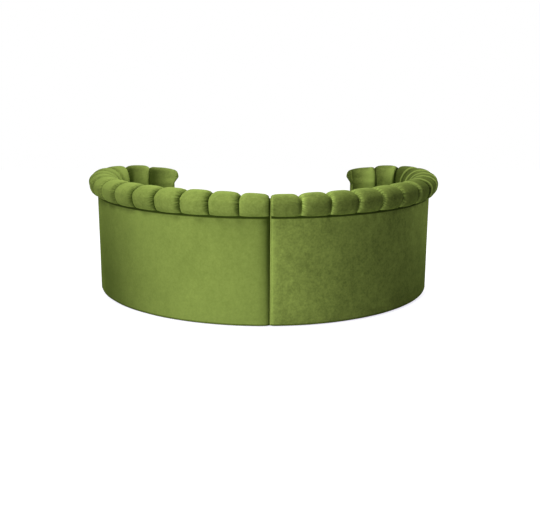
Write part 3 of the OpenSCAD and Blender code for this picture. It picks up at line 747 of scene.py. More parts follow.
def cap_faces(rows, columns, roll, width):
    """Faces between the end channel's rim, the cap's rings and the core, and the flat face
    below the cap. The cap's points follow the rows x columns of the channel."""
    first = rows * columns
    edge = (rows - 1) * columns + np.append(np.arange(roll), columns - 1)
    inner = first + np.arange((CAP_RINGS - 1) * width).reshape(-1, width)
    loops = np.concatenate([edge[None, :], inner])
    loops = np.concatenate([loops, loops[:, :1]], axis=1)
    rings = np.stack([loops[:-1, :-1], loops[1:, :-1], loops[1:, 1:], loops[:-1, 1:]], axis=-1)
    core = first + (CAP_RINGS - 1) * width
    fan = np.stack([loops[-1, :-1], np.full(width, core), loops[-1, 1:]], axis=-1)
    below = (rows - 1) * columns + np.arange(roll - 1, columns)
    return [rings.reshape(-1, 4)[:, ::-1], fan[:, ::-1], np.arange(columns)[None, :], below[None, ::-1]]


# %% Build the end channels
CORE_REACH = 0.93                    # the core lies a little inside the cap


def end_channel(side_name):
    """The channel that ends the arm, with its gathered cap."""
    side = SIDES[side_name]
    rng = np.random.default_rng(40 + side)
    start = SEAMS[CHANNELS - 1]
    flat, folds = end_skin(rng)
    skin = stand(np.clip(flat[..., 0], start, WALL_LENGTH), flat[..., 1], flat[..., 2], side)
    ring = close_ring(skin, start + u_grid * END_CHANNEL_WIDTH, side)
    rows, columns = ring.shape[:2]
    roll = int(np.searchsorted(t_grid, 3.0)) + 1
    rim = np.concatenate([flat[-1, :roll, 1:], [[-PADDING_BACK, WALL_HEIGHT]]])
    rings, pleat, size = cap_rings(rim, rng)
    cap = stand(rings[..., 0], rings[..., 1], rings[..., 2], side)
    core = stand(np.array([WALL_LENGTH + CORE_REACH * END_OVERHANG]), TIP_CORE[0], TIP_CORE[1], side)
    points = np.concatenate([ring.reshape(-1, 3), cap.reshape(-1, 3), core.reshape(-1, 3)])
    # Painted light and shade of the end channel, from its place and its slopes
    painted_light = painted_channel_light(side_name, flat[..., 0], u_skin, t_skin, painted_slope_light(flat, side))
    values = painted_values(side_name, CHANNELS - 1, folds, painted_light, END_CHANNEL_WIDTH)
    values["seam"][u_grid > 0.5] = 0
    # On the cap: painted highlight on the pleats' crests, painted shade in their hollows and at the core, and
    # where the cap faces out past the arm, painted shade on the right arm and painted light on the left
    on_cap = {"fold": (0.5 * pleat * (1 - size) ** 0.5, 0.0),
              "seam": (0.8 * (1 - pleat) * (1 - size) ** 0.7, 0.8),
              "painted_light": (-side * np.abs(normals_of(rings)[..., 0]), 0.0)}
    for key, (on_rings, on_core) in on_cap.items():
        values[key] = np.concatenate([values[key].reshape(-1), on_rings.reshape(-1), [on_core]])
    skin_faces = grid_faces(rows, columns, closed=True)[:, ::-1]
    piece = add_mesh(f"{side_name}_channel_pad_14", points,
                     [skin_faces, *cap_faces(rows, columns, roll, len(rim))],
                     f"{side_name}_module", roll_velvets[side_name], turned=side > 0, values=values)
    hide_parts(f"{side_name}_channel_14")
    return piece


ends = [end_channel(name) for name in SIDES]
print("end channels:", [piece.name for piece in ends])

# %% [markdown]
# ## The smooth back cover
#
# One length of velvet runs from the joint round the back and the corner to the arm's end,
# where it turns round the edge. It is tacked under the roll, pulled straight down and turned
# under at the floor. A cloth simulation would only find that it lies flat, so it is a sheet
# along the wall with the small signs of its making: faint tension waves, short puckers under
# the tacks, and an edge that is pulled inwards beside the joint, with a low swelling where
# the padding is held back. A modifier gives it the thickness of cloth.

# %% How the cover stands out
COVER = 0.002                        # thickness of the velvet with its lining
COVER_REST = -0.0006                 # where it lies between its waves
EDGE_SWELL = 0.005                   # the swelling beside the joint
JOIN_LIFT = 0.0003                   # how far outside the frame's tight bend it lies
WAVE_HEIGHT = 0.0008
PUCKER_HEIGHT = 0.0009
FOLD_HEIGHT = 0.0006
HEM_RIDGE = 0.0009
join_centre_x = (BACK_RADIUS - JOIN_RADIUS) / BACK_RADIUS * JOIN_WIDTH
join_centre_y = -math.sqrt((BACK_RADIUS - JOIN_RADIUS) ** 2 - join_centre_x ** 2)


def eased_edge(s):
    """How far the cover is pulled in beside the joint: the distance between the round back
    and a tighter circle of JOIN_RADIUS that touches it JOIN_WIDTH away from the joint."""
    x = BACK_RADIUS * np.sin(np.minimum(s, JOIN_WIDTH) / BACK_RADIUS)
    tight = join_centre_y - np.sqrt((JOIN_RADIUS + JOIN_LIFT) ** 2 - (x - join_centre_x) ** 2)
    round_back = -np.sqrt(BACK_RADIUS ** 2 - x ** 2)
    return np.clip(tight - round_back, 0, None)


def smooth_noise(s, z, length, rng, waves=24):
    """Gentle waves: a sum of plane waves of about the given length, each with its own
    direction, phase and height, scaled to stay near +-1."""
    angle = rng.uniform(-0.5, 0.5, waves)
    number = 2 * math.pi / (length * rng.uniform(0.7, 1.6, waves))
    phase = rng.uniform(0, 2 * math.pi, waves)
    ripple = np.sin(number * (np.cos(angle) * s[..., None] + np.sin(angle) * z[..., None]) + phase)
    return ripple.sum(axis=-1) / math.sqrt(waves)


def cover_out(s, height, rng):
    """How far the cover stands out: waves 0.3 m long, puckers 35 mm apart and folds 90 mm
    apart that fade below the tacks, and the ridge of the hem, all within the cloth's play
    and calmer past the corner. Beside the joint a bell curve swells it, and the edge
    itself is pulled in."""
    below = WALL_HEIGHT - height
    out = COVER_REST + WAVE_HEIGHT * smooth_noise(s, height, 0.30, rng)
    out += PUCKER_HEIGHT * smooth_noise(s, height * 0.15, 0.035, rng) * np.exp(-below / 0.022)
    out += FOLD_HEIGHT * smooth_noise(s, height * 0.3, 0.09, rng) * np.exp(-below / 0.07)
    out += HEM_RIDGE * bell(height, HEM_HEIGHT + 0.009, 0.006)
    calm = np.clip((2.1 - s) / 0.4, 0.3, 1)
    out = np.clip(COVER_REST + (out - COVER_REST) * calm, -0.0014, 0.0)
    out += EDGE_SWELL * (1 - bell(s, 0, 0.010)) * bell(s, 0, 0.045)
    return out - eased_edge(s)


# %% Light and shade painted on the cover
def painted_cover_light(side, s, out, height, rng):
    """Painted light and shade of the cover: half that of its slopes, small patches under the
    tacks that differ at random, and then, by bells and ramps, painted light and shade on
    each module."""
    below = WALL_HEIGHT - height
    painted_light = 0.5 * painted_slope_light(np.stack([s, out, height], axis=-1), side)
    painted_light += 0.15 * smooth_noise(s, height, 0.09, rng) * bell(below, 0.035, 0.02)
    if side > 0:
        # Painted light at the joint and in two patches of the back, painted shade low round the corner
        painted_light += 0.25 * np.exp(-s / 0.055)
        painted_light += 0.15 * ramp(s, 0.9, 1.3) * bell(below, 0.3, 0.15)
        painted_light += 0.22 * bell(s, 0.65, 0.35) * np.exp(-below / 0.12)
        painted_light -= 0.45 * ramp(s, 0.9, 1.5) * ramp(below, 0.15, 0.65)
    else:
        # Painted shade at the joint and above it, painted light along the back, shade low round the corner
        painted_light -= 0.72 * bell(s, 0, 0.045) * (1 - 0.8 * (below / WALL_HEIGHT) ** 2)
        painted_light -= 0.28 * bell(s, 0.22, 0.17) * np.exp(-below / 0.14)
        painted_light += 0.25 * bell(s, 0.95, 0.30) * ramp(below, 0.55, 0.05)
        painted_light += 0.14 * ramp(below, 0.35, 0.70) * ramp(s, 1.1, 0.8)
        painted_light -= 0.75 * ramp(s, 1.0, 1.5) * ramp(below, 0.05, 0.55)
    return painted_light


# %% Build the back covers
HEM = HEM_HEIGHT + np.array([0, 0.004, 0.009, 0.014, 0.018])     # heights of the hem's points
EDGE_ROUND = 0.0022                  # the bend round the arm's vertical edge
HIDDEN_ROWS = 9                      # rows of the arm's end that the padding hides above the deck


def thicken(piece):
    """Gives a sheet the thickness of the cover, inwards."""
    modifier = piece.modifiers.new("thickness", "SOLIDIFY")
    modifier.thickness = COVER
    modifier.offset = -1


def arm_end(out, z, side):
    """The cover round the arm's vertical edge, as a quarter circle of EDGE_ROUND, and then
    straight across its end."""
    bend = np.linspace(0, math.pi / 2, 7)[1:-1][:, None]
    edge_s = WALL_LENGTH - EDGE_ROUND + EDGE_ROUND * np.sin(bend)
    depth = np.concatenate([np.linspace(EDGE_ROUND, PADDING_BACK, 12),
                            np.linspace(PADDING_BACK + 0.006, BACK_THICKNESS, HIDDEN_ROWS)])
    return np.concatenate([stand(edge_s, out - EDGE_ROUND * (1 - np.cos(bend)), z, side),
                           stand(WALL_LENGTH, -depth[:, None], z, side)])


def back_cover(side_name):
    """The cover along the wall and round the arm's end, with painted shade in the strip under
    the roll and a darker hem."""
    side = SIDES[side_name]
    rng = np.random.default_rng(7 + side)
    along = np.concatenate([np.linspace(0, 0.057, 20), np.linspace(0.062, WALL_LENGTH - 0.012, 296)])
    z = np.concatenate([HEM, np.linspace(HEM_HEIGHT + 0.03, WALL_HEIGHT - 0.09, 46),
                        np.linspace(WALL_HEIGHT - 0.085, WALL_HEIGHT, 30)])
    s, height = np.meshgrid(along, z, indexing="ij")
    out = cover_out(s, height, rng)
    # Painted light and shade of the cover
    painted_light = painted_cover_light(side, s, out, height, rng)
    points = np.concatenate([stand(s, out, height, side), arm_end(out[-1], z, side)])
    rows, columns = points.shape[:2]
    rest = ((0, rows - len(along)), (0, 0))
    # Painted shade in the strip just under the roll; the lowest 9 mm of the hem darker
    darkened = np.pad(0.95 * ramp(WALL_HEIGHT - height, 0.023, 0.018), rest)
    darkened[:, :3] = 0.6
    faces = grid_faces(rows, columns)
    behind = (faces // columns).min(axis=1) >= rows - HIDDEN_ROWS - 1
    above_deck = z[faces % columns].mean(axis=1) > DECK_HEIGHT
    piece = add_mesh(f"{side_name}_back_velvet", points, [faces[~(above_deck & behind)]],
                     f"{side_name}_module", velvets[side_name], turned=side < 0,
                     values={"seam": darkened, "painted_light": np.pad(painted_light, rest)})
    thicken(piece)
    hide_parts(f"{side_name}_back_cover")
    return piece


covers = [back_cover(name) for name in SIDES]
print("back covers, faces:", [len(piece.data.polygons) for piece in covers])

# %% [markdown]
# ## The cover of the seat front
#
# The front of the seat base is a concave wall with the same velvet, pulled over a bent
# board from the seat down to the floor, and turned over the deck under the cushion. It
# follows a circle and then runs straight in front of the arm. It is stretched as the back
# cover is, so it is made the same way: as a sheet in which only faint waves are left.

# %% Build the seat front covers
TURN_OVER = 0.015                    # what is turned over the deck
TURN_SHARES = np.array([0.1, 0.2, 0.4, 0.7, 1.0])
SIDE_LINE = CORNER_CENTRE[1] + CORNER_RADIUS - BACK_THICKNESS     # inner face of the arm
ARM_END = CORNER_CENTRE[0] - ARM_LENGTH


def seat_front(side_name):
    """The cover of the seat's front: an arc of FRONT_RADIUS, then a straight length."""
    side = SIDES[side_name]
    rng = np.random.default_rng(17 + side)
    last = math.asin(SIDE_LINE / FRONT_RADIUS)
    arc_length = FRONT_RADIUS * (last - START)
    straight = ARM_END - FRONT_RADIUS * math.cos(last)
    s = np.concatenate([np.linspace(0, arc_length, 130), arc_length + np.linspace(0, straight, 14)[1:]])
    s = s[:, None]
    z = np.concatenate([HEM, np.linspace(HEM_HEIGHT + 0.03, DECK_HEIGHT, 30),
                        np.full(len(TURN_SHARES), DECK_HEIGHT + 0.0016)])
    inward = np.clip(0.0007 * smooth_noise(s, z, 0.25, rng) + 0.0012, 0, 0.0015)
    inward *= ramp(z, DECK_HEIGHT, DECK_HEIGHT - 0.05)
    inward[:, -len(TURN_SHARES):] = TURN_OVER * TURN_SHARES
    turn = START + np.minimum(s, arc_length) / FRONT_RADIUS
    radius = FRONT_RADIUS + inward
    x = np.where(s <= arc_length, radius * np.cos(turn), FRONT_RADIUS * math.cos(last) + s - arc_length)
    y = np.where(s <= arc_length, radius * np.sin(turn), SIDE_LINE - inward)
    points = on_side(x, y, z, side)
    piece = add_mesh(f"{side_name}_seat_front_velvet", points, [grid_faces(*points.shape[:2])],
                     f"{side_name}_module", velvets[side_name], turned=side > 0)
    thicken(piece)
    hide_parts(f"{side_name}_seat_front_cover")
    return piece


fronts = [seat_front(name) for name in SIDES]
print("seat fronts, faces:", [len(piece.data.polygons) for piece in fronts])

# %% [markdown]
# ## The seat cushions
#
# Each seat is one curved foam cushion in a sewn velvet case: a top panel, a border and a
# bottom panel. The seams hold the case in and the foam pushes it out between them. A
# subdivided block would be as soft everywhere, seams too; a cloth simulation with pressure
# swells only between the seams, because their lines are pinned, and the welt cord that is
# sewn into them can be laid on the same points.

# %% Plan and section of the seat cushion
CUSHION_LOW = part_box("right_seat_cushion")[0][2]
CUSHION_HEIGHT = CUSHION_EDGE - CUSHION_LOW
CUSHION_CROWN = 0.014                # how far the middle of its top rises
CUSHION_FRONT = FRONT_RADIUS - 0.006
CUSHION_BACK = BACK_RADIUS - BACK_THICKNESS - 0.002
CUSHION_CORNER = CORNER_RADIUS - BACK_THICKNESS - 0.002
ROUND_SHARE = 0.78                   # share of its length that sweeps the round back
FRONT_ROUND = 0.042
BACK_ROUND = 0.014
BACK_BORDER = 0.9                    # how high the borders reach, as shares of the height
FRONT_BORDER = 0.68
SIDE_TUCK = 0.005                    # how far the borders are pulled in at the bottom
END_DROP = 0.020


def cushion_ends(q):
    """Front and back point of the cushion at shares q of its length: up to ROUND_SHARE it
    sweeps the round back, the rest swings round the corner to the arm."""
    end_angle = math.asin((CORNER_CENTRE[1] + CUSHION_CORNER) / CUSHION_FRONT)
    sweep = np.clip(q / ROUND_SHARE, 0, 1)
    corner = np.clip((q - ROUND_SHARE) / (1 - ROUND_SHARE), 0, 1)
    a = START + sweep * BACK_ANGLE + corner * (end_angle - END)
    b = END + corner * (math.pi - BACK_ANGLE)
    front = CUSHION_FRONT * np.stack([np.cos(a), np.sin(a)], axis=-1)
    on_arc = CUSHION_BACK * np.stack([np.cos(a), np.sin(a)], axis=-1)
    on_corner = CORNER_CENTRE + CUSHION_CORNER * np.stack([np.cos(b), np.sin(b)], axis=-1)
    return front, np.where((q <= ROUND_SHARE)[:, None], on_arc, on_corner)


def stretch(*terms):
    """One stretch of the outline: its five terms as rows, with plain numbers repeated."""
    return np.stack(np.broadcast_arrays(*terms))


def cushion_outline():
    """Closed outline across the seat as (share of depth, metres added, share of height,
    metres added, share of the crown): bottom, back border, quarter round, crowned top,
    rounded front and front border. Also says at which points the seams run."""
    across = np.linspace(0, 1, 27)[1:-1]
    rise = np.linspace(0, 1, 9)[1:-1]
    back = np.linspace(0, math.pi / 2, 8)
    top = np.linspace(0.97, 0.11, 30)
    front = np.linspace(0, math.pi / 2, 12)
    rows = [stretch(across, 0, 0, 0, 0),
            stretch(1, -SIDE_TUCK * (1 - rise) ** 2, BACK_BORDER * rise, 0, 0),
            stretch(1, -BACK_ROUND * (1 - np.cos(back)), 1, -BACK_ROUND * (1 - np.sin(back)), 0),
            stretch(top, 0, 1, 0, 1 - (2 * top - 1) ** 2),
            stretch(0, FRONT_ROUND * (1 - np.sin(front)), 1, -FRONT_ROUND * (1 - np.cos(front)), 0),
            stretch(0, SIDE_TUCK * rise ** 2, FRONT_BORDER * (1 - rise), 0, 0)]
    counts = np.cumsum([0] + [row.shape[1] for row in rows])
    seams = {"bottom_back": counts[1], "top_back": counts[3] - 1, "top_front": counts[4], "bottom_front": 0}
    return np.concatenate(rows, axis=1), seams


outline, seam_points = cushion_outline()
print("cushion outline:", outline.shape[1], "points, seams at", seam_points)

# %% Inflate one cushion and mirror it
MOST_SWELL = 0.008


def cushion_grid():
    """Grid of cushion points about the centre of the round back, rows along the seat: each
    row runs from the front to the back point, and drops at both ends as a parabola."""
    q = np.concatenate([[0, 0.004, 0.010, 0.018], np.linspace(0.028, 0.972, 84), [0.984, 0.993, 1.0]])
    front, back = cushion_ends(q)
    depth = np.linalg.norm(back - front, axis=-1)[:, None]
    along = (back - front) / depth
    drop = END_DROP * (np.clip(1 - q / 0.024, 0, 1) ** 2 + np.clip(1 - (1 - q) / 0.045, 0, 1) ** 2)[:, None]
    share, add, high, high_add, crown = outline
    reach = share * depth + add
    z = CUSHION_LOW + high * CUSHION_HEIGHT + high_add + crown * (CUSHION_CROWN - 0.6 * drop) - high * drop
    flat = front[:, None, :] + reach[..., None] * along[:, None, :]
    return np.concatenate([flat, z[..., None]], axis=-1)


def inflate(grid):
    """Cloth run of the whole case: the seams and both ends are sewn, the rest swells by
    MOST_SWELL at most."""
    rows, columns = grid.shape[:2]
    pinned = np.zeros((rows, columns), bool)
    pinned[:2] = pinned[-2:] = True
    pinned[:, list(seam_points.values())] = True
    pinned[:, :seam_points["bottom_back"]] = True
    caps = [np.arange(columns), (rows - 1) * columns + np.arange(columns)[::-1]]
    move = simulate(grid, pinned, growth=0.012, pressure=3, frames=20, closed=True, caps=caps) - grid
    size = np.linalg.norm(move, axis=-1, keepdims=True)
    return grid + move * np.minimum(1, MOST_SWELL / np.maximum(size, 1e-9))


cushion = cushion_grid()
cushion = inflate(cushion)
print("cushion:", cushion.shape[:2], "points, highest", round(float(cushion[..., 2].max()), 4))

# %% Seat cushions and their welts
WELT_RADIUS = 0.003
WELT_LIFT = np.array([0, 0, 0.0005])


def tube(path, radius, sides=8):
    """Rings of points round a path: each ring is a circle in the plane of the path's side
    and up directions."""
    ahead = np.gradient(path, axis=0)
    ahead /= np.linalg.norm(ahead, axis=-1, keepdims=True)
    across = np.cross(ahead, [0, 0, 1.0])
    across /= np.linalg.norm(across, axis=-1, keepdims=True)
    up = np.cross(across, ahead)
    turn = (2 * math.pi * np.arange(sides) / sides)[:, None]
    return path[:, None] + radius * (np.cos(turn) * across[:, None] + np.sin(turn) * up[:, None])


def welt(side_name, name, path):
    """A velvet cord along one seam, with flat ends."""
    ring = tube(path + WELT_LIFT, WELT_RADIUS)
    rows, columns = ring.shape[:2]
    flat_ends = [np.arange(columns)[None, ::-1], (rows - 1) * columns + np.arange(columns)[None, :]]
    add_mesh(f"{side_name}_welt_{name}", ring, [grid_faces(rows, columns, closed=True)[:, ::-1], *flat_ends],
             f"{side_name}_module", seat_velvet, turned=SIDES[side_name] < 0)


def seat(side_name):
    """The cushion of one module, and the welts in the three seams that show."""
    points = on_side(cushion[..., 0], cushion[..., 1], cushion[..., 2], SIDES[side_name])
    rows, columns = points.shape[:2]
    caps = [np.arange(columns)[None, :], (rows - 1) * columns + np.arange(columns)[None, ::-1]]
    piece = add_mesh(f"{side_name}_seat_pad", points, [grid_faces(rows, columns, closed=True), *caps],
                     f"{side_name}_module", seat_velvet, turned=SIDES[side_name] < 0)
    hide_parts(f"{side_name}_seat_cushion")
    for name in ("top_back", "top_front", "bottom_front"):
        welt(side_name, name, points[1:-1, seam_points[name]])
    return piece


seats = [seat(name) for name in SIDES]
print("seat pads, faces:", [len(piece.data.polygons) for piece in seats])

# %% [markdown]
# ## The joining sides
#
# Where the modules meet, each has a thin padded panel. It keeps the outline and the two
# slots of its board, so it starts as a copy of the frame's own piece; drawing it again would
# only risk a slot in the wrong place. A small bevel gives it the soft edge of cloth pulled
# over padding, and its face swells towards the other module until they nearly touch. Its
# faces are painted darker, as shade in the gap, and what the gap shows is its narrow edge,
# where the cloth bends, painted dark as shade on the left module and pale as light on the right.

# %% Soften the side panels
PAD_SWELL = 0.0028                   # leaves 0.4 mm between the two faces
SOFT_EDGE = 0.0012


def vectors_of(items, key):
    """One vector of each vertex or face as an array (n, 3)."""
    values = np.empty(len(items) * 3, np.float32)
    items.foreach_get(key, values)
    return values.reshape(-1, 3)


def swollen_panel(side_name):
    """A copy of the panel's mesh whose face is moved out by PAD_SWELL: the rubbed velvet,
    painted darker as shade, on its faces, and on its narrow edges the velvet painted as shade
    or as light."""
    source = frame["nodes"][f"{side_name}_side_panel"]
    mesh = source.data.copy()
    side = SIDES[side_name]
    points = vectors_of(mesh.vertices, "co")
    face_x = side * min(abs(c[0]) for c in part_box(source.name))
    points[:, 0] -= side * PAD_SWELL * (np.abs(points[:, 0] - face_x) < 0.0005)
    mesh.vertices.foreach_set("co", points.reshape(-1))
    narrow = np.abs(vectors_of(mesh.polygons, "normal")[:, 0]) < 0.5
    mesh.materials.clear()
    # Faces: rubbed velvet, painted darker as shade; narrow edges: painted shade on the left, painted light on
    # the right
    mesh.materials.append(rubbed_shaded_velvet)
    mesh.materials.append(painted_edge_velvets[side_name])
    mesh.polygons.foreach_set("material_index", narrow.astype(np.int32))
    mesh.update()
    return mesh


def side_panel(side_name):
    """The padded panel: the swollen copy, merged where its faces meet, with round edges."""
    piece = bpy.data.objects.new(f"{side_name}_side_pad", swollen_panel(side_name))
    bpy.context.scene.collection.objects.link(piece)
    weld = piece.modifiers.new("merge", "WELD")
    weld.merge_threshold = 0.00001
    round_edges = piece.modifiers.new("soft edge", "BEVEL")
    round_edges.width = SOFT_EDGE
    round_edges.segments = 3
    round_edges.limit_method = "ANGLE"
    round_edges.angle_limit = SHARP
    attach(piece, f"{side_name}_module")
    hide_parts(f"{side_name}_side_panel")
    return piece


side_pads = [side_panel(name) for name in SIDES]
print("side pads:", [piece.name for piece in side_pads])

# %% [markdown]
# ## Boards and fittings
#
# The rest of the sofa is hidden until a module is turned over or pulled away: birch plywood,
# elastic webbing, a non-woven dust cover, nylon glides and zinc-plated steel. Their shapes
# are right as they are, so each only gets the finish of the real thing. Photographed
# textures would need an unwrapped mesh; patterns in Object coordinates don't.


# %% Plywood, webbing, felt, nylon and steel
def bands(tree, axis, spacing, distortion=0.0):
    """Parallel bands across an axis of the object, one every spacing metres. A wave texture
    repeats 20 / (2 pi) times in each unit of its scale."""
    place = node(tree, "ShaderNodeTexCoord").outputs["Object"]
    return node(tree, "ShaderNodeTexWave", {"Vector": place, "Scale": math.tau / (20 * spacing),
                                            "Distortion": distortion}, bands_direction=axis).outputs["Fac"]


def plywood():
    """Birch plywood, from rotary-cut veneer: face grain in long streaks, with the faint
    darker figure of the growth rings every 19 mm."""
    material, tree, shader = new_material("birch plywood", Roughness=0.6, IOR=1.5)
    grain = clouds(tree, 9 * MM, 4, (0.15, 1, 1))
    wood = node(tree, "ShaderNodeMix", {0: grain, 6: "#C9A676", 7: "#DDC097"}, data_type="RGBA").outputs[2]
    rings = bands(tree, "Z", 18.85 * MM, distortion=1.5)
    crest = node(tree, "ShaderNodeMapRange", {"Value": rings, "From Min": 0.8, "From Max": 1.0}).outputs[0]
    shade = node(tree, "ShaderNodeMath", {0: crest, 1: 0.25}, operation="MULTIPLY").outputs[0]
    colour = node(tree, "ShaderNodeMix", {0: shade, 6: wood, 7: "#8E6B42"}, data_type="RGBA").outputs[2]
    surface(tree, shader, colour, grain, 0.2, 0.3 * MM)
    return material


def woven(name, dark, light, spacing, **sockets):
    """A coarse weave: two crossed waves, multiplied."""
    material, tree, shader = new_material(name, **sockets)
    threads = [bands(tree, axis, spacing) for axis in ("X", "Y")]
    weave = node(tree, "ShaderNodeMath", {0: threads[0], 1: threads[1]}, operation="MULTIPLY").outputs[0]
    colour = node(tree, "ShaderNodeMix", {0: weave, 6: dark, 7: light}, data_type="RGBA").outputs[2]
    surface(tree, shader, colour, weave, 0.5, 0.4 * MM)
    return material


def speckled(name, dark, light, size, height, **sockets):
    """A fine random texture, for felt, moulded plastic or plated steel."""
    material, tree, shader = new_material(name, **sockets)
    speck = clouds(tree, size)
    colour = node(tree, "ShaderNodeMix", {0: speck, 6: dark, 7: light}, data_type="RGBA").outputs[2]
    surface(tree, shader, colour, speck, 0.3, height)
    return material


# %% Give each board and fitting its finish
finishes = {
    "plywood": plywood(),
    # Rubber threads under black yarn, 2.5 mm apart, drawn at 15.7 mm so that they show
    "webbing": woven("elastic webbing", "#1C1C1E", "#4A4A4E", 15.708 * MM, Roughness=0.8, IOR=1.5),
    # Matted fibres: dull, with a soft fleck
    "dust_cloth": speckled("non-woven dust cloth", "#1B1B1C", "#2E2E30", 2 * MM, 0.3 * MM, Roughness=0.95),
    # Injection-moulded, so half gloss with the fine spark erosion of the mould
    "nylon": speckled("moulded nylon", "#2C2C2D", "#363637", 1 * MM, 0.05 * MM, Roughness=0.45, IOR=1.53),
    # Plated in a drum: bright grey, with faint spangles
    "zinc_steel": speckled("zinc-plated steel", "#A9ABAD", "#C4C6C8", 6 * MM, 0.03 * MM,
                           Roughness=0.35, Metallic=1.0)}
slot_of = {part["node"]: part["material_slot"] for part in frame["record"]["subparts"]}
dressed = {name: part for name, part in frame["nodes"].items() if slot_of[name] in finishes}
for name, part in dressed.items():
    part.data.materials.clear()
    part.data.materials.append(finishes[slot_of[name]])
print(len(dressed), "hidden boards and fittings have their finish")

# %% [markdown]
# ## Studio
#
# The sofa stands on a sheet of white paper. The paper and the sky look white to the camera,
# but the sky gives almost no light: one that bright would wash out the folds. What lights
# the velvet is six square soft lamps. Two low ones are for the wall, one at the upper left
# models the roll, one on the right reaches the arms, one above the crests, and one on the
# open side the rims.

# %% White floor with a shadow
SWEEP = 8.0                          # half the width of the paper
SHADE_EDGE = 0.05                    # how softly the shaded floor ends
SHADE_FRONT = 0.3

floor_mesh = bpy.data.meshes.new("floor")
corners = [(-SWEEP, -SWEEP, 0), (SWEEP, -SWEEP, 0), (SWEEP, SWEEP, 0), (-SWEEP, SWEEP, 0)]
floor_mesh.from_pydata(corners, [], [(0, 1, 2, 3)])
floor = bpy.data.objects.new("floor", floor_mesh)
bpy.context.scene.collection.objects.link(floor)


def white_to_camera(tree):
    """1 for camera, glossy and transmission rays, else 0."""
    path = node(tree, "ShaderNodeLightPath")
    first = node(tree, "ShaderNodeMath", {0: path.outputs["Is Camera Ray"], 1: path.outputs["Is Glossy Ray"]},
                 operation="MAXIMUM")
    return node(tree, "ShaderNodeMath", {0: first.outputs[0], 1: path.outputs["Is Transmission Ray"]},
                operation="MAXIMUM").outputs[0]


# Matt paper, which throws back about half of the light. To the camera it glows white,
# except under the sofa's back and inside it, where a real floor lies in shade
paper, tree, shader = new_material("white paper sweep", Base_Color=rgb("#BFBFC4"), Roughness=0.9)
place = node(tree, "ShaderNodeTexCoord").outputs["Object"]
away = node(tree, "ShaderNodeVectorMath", {0: place, 1: (0, CENTRE_Y, 0)},
            operation="DISTANCE").outputs["Value"]
outside = node(tree, "ShaderNodeMapRange", {"Value": away, "From Min": BACK_RADIUS,
                                            "From Max": BACK_RADIUS + SHADE_EDGE}).outputs[0]
along_y = node(tree, "ShaderNodeSeparateXYZ", {"Vector": place}).outputs["Y"]
in_front = node(tree, "ShaderNodeMapRange", {"Value": along_y, "From Min": -SHADE_FRONT,
                                             "From Max": SHADE_FRONT}).outputs[0]
clear = node(tree, "ShaderNodeMath", {0: outside, 1: in_front}, operation="MAXIMUM").outputs[0]
tone = node(tree, "ShaderNodeMix", {0: clear, 6: "#CFCDD8", 7: "#FFFFFF"}, data_type="RGBA").outputs[2]
glow = node(tree, "ShaderNodeEmission", {"Strength": white_to_camera(tree), "Color": tone}).outputs[0]
both = node(tree, "ShaderNodeAddShader", {0: shader.outputs[0], 1: glow}).outputs[0]
tree.links.new(both, tree.nodes["Material Output"].inputs["Surface"])
floor_mesh.materials.append(paper)
print("floor:", 2 * SWEEP, "m wide")

# %% Sky
SKY_LIGHT = 0.01
world = bpy.data.worlds.new("studio")
bpy.context.scene.world = world
world.use_nodes = True
background = world.node_tree.nodes["Background"].inputs
strength = node(world.node_tree, "ShaderNodeMapRange",
                {"Value": white_to_camera(world.node_tree), "To Min": SKY_LIGHT, "To Max": 1.0}).outputs[0]
background["Color"].default_value = (1, 1, 1, 1)
world.node_tree.links.new(strength, background["Strength"])
print("the sky looks white and lights with strength", SKY_LIGHT)


# %% Lamps
def lamp(name, place, aim, size, power):
    """A square soft lamp that looks from place towards aim."""
    data = bpy.data.lights.new(name, "AREA")
    data.size = size
    data.energy = power
    new = bpy.data.objects.new(name, data)
    new.location = place
    new.visible_camera = False
    way = np.array(aim, float) - np.array(place, float)
    new.rotation_euler = (math.pi / 2 + math.atan2(way[2], math.hypot(way[0], way[1])), 0,
                          math.atan2(-way[0], way[1]))
    bpy.context.scene.collection.objects.link(new)
    return new


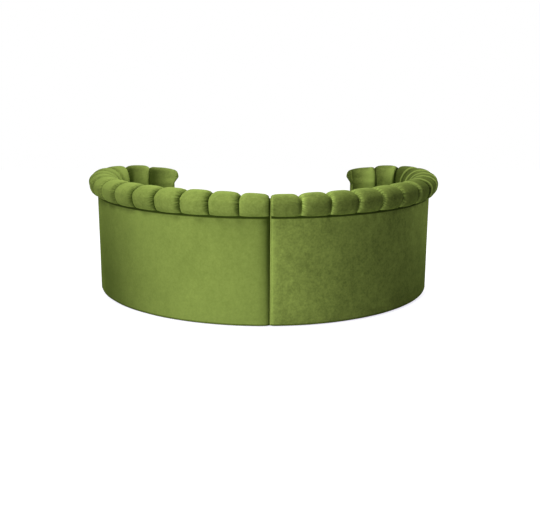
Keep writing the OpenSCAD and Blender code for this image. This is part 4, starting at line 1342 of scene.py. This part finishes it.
lamps = [lamp("low key", (-0.9, -2.4, 0.6), (-0.25, -0.8, 0.3), 0.5, 15),
         lamp("low front", (-0.4, -3.4, 0.6), (-0.2, -0.8, 0.3), 0.6, 13),
         lamp("left", (-1.9, -1.6, 2.8), (-0.6, -0.3, 0.5), 0.6, 32),
         lamp("arms", (2.6, 0.3, 1.6), (-0.4, 0.6, 0.7), 0.5, 13),
         lamp("top", (-0.4, -0.7, 3.0), (-0.2, -0.1, 0.5), 1.2, 36),
         lamp("far side", (0.5, 2.8, 2.6), (0.0, 0.5, 0.8), 0.8, 25)]
print("lamps, watts:", {new.name: new.data.energy for new in lamps})

# %% [markdown]
# ## Camera
#
# The camera stands behind the sofa, a little to its left and above it, and looks down by
# 12.6 degrees. One could push it about until the picture looks right. Here its place and
# lens were worked out instead: they are those at which the foot line, the crease, the seams
# and the arm ends fall where they do in the photograph.

# %% Camera
CAMERA_PLACE = (-0.2005, -5.711, 1.605)
CAMERA_YAW = 0.0407                  # radians; to the right, down and anticlockwise
CAMERA_DOWN = 0.2207
CAMERA_ROLL = 0.005
FOCAL_PIXELS = 778.2                 # the lens, as fitted in the photograph's pixels
IMAGE_WIDTH = 540
SENSOR = 36.0
camera_data = bpy.data.cameras.new("camera")
camera_data.sensor_width = SENSOR
camera_data.lens = FOCAL_PIXELS / IMAGE_WIDTH * SENSOR
camera = bpy.data.objects.new("camera", camera_data)
bpy.context.scene.collection.objects.link(camera)
bpy.context.scene.camera = camera

# The camera looks along -z of its own axes, so these are its x, y and z in the sofa's frame
flat_ahead = math.cos(CAMERA_DOWN) * np.array([math.sin(CAMERA_YAW), math.cos(CAMERA_YAW), 0.0])
ahead = flat_ahead - np.array([0, 0, math.sin(CAMERA_DOWN)])
level = np.array([math.cos(CAMERA_YAW), -math.sin(CAMERA_YAW), 0.0])
upward = np.cross(level, ahead)
right = math.cos(CAMERA_ROLL) * level + math.sin(CAMERA_ROLL) * upward
up = math.cos(CAMERA_ROLL) * upward - math.sin(CAMERA_ROLL) * level
placed = np.eye(4)
placed[:3] = np.stack([right, up, -ahead, CAMERA_PLACE], axis=1)
camera.matrix_world = mathutils.Matrix(placed.tolist())
print(f"lens {camera_data.lens:.2f} mm")

# %% Colour management
bpy.context.scene.view_settings.view_transform = "Standard"
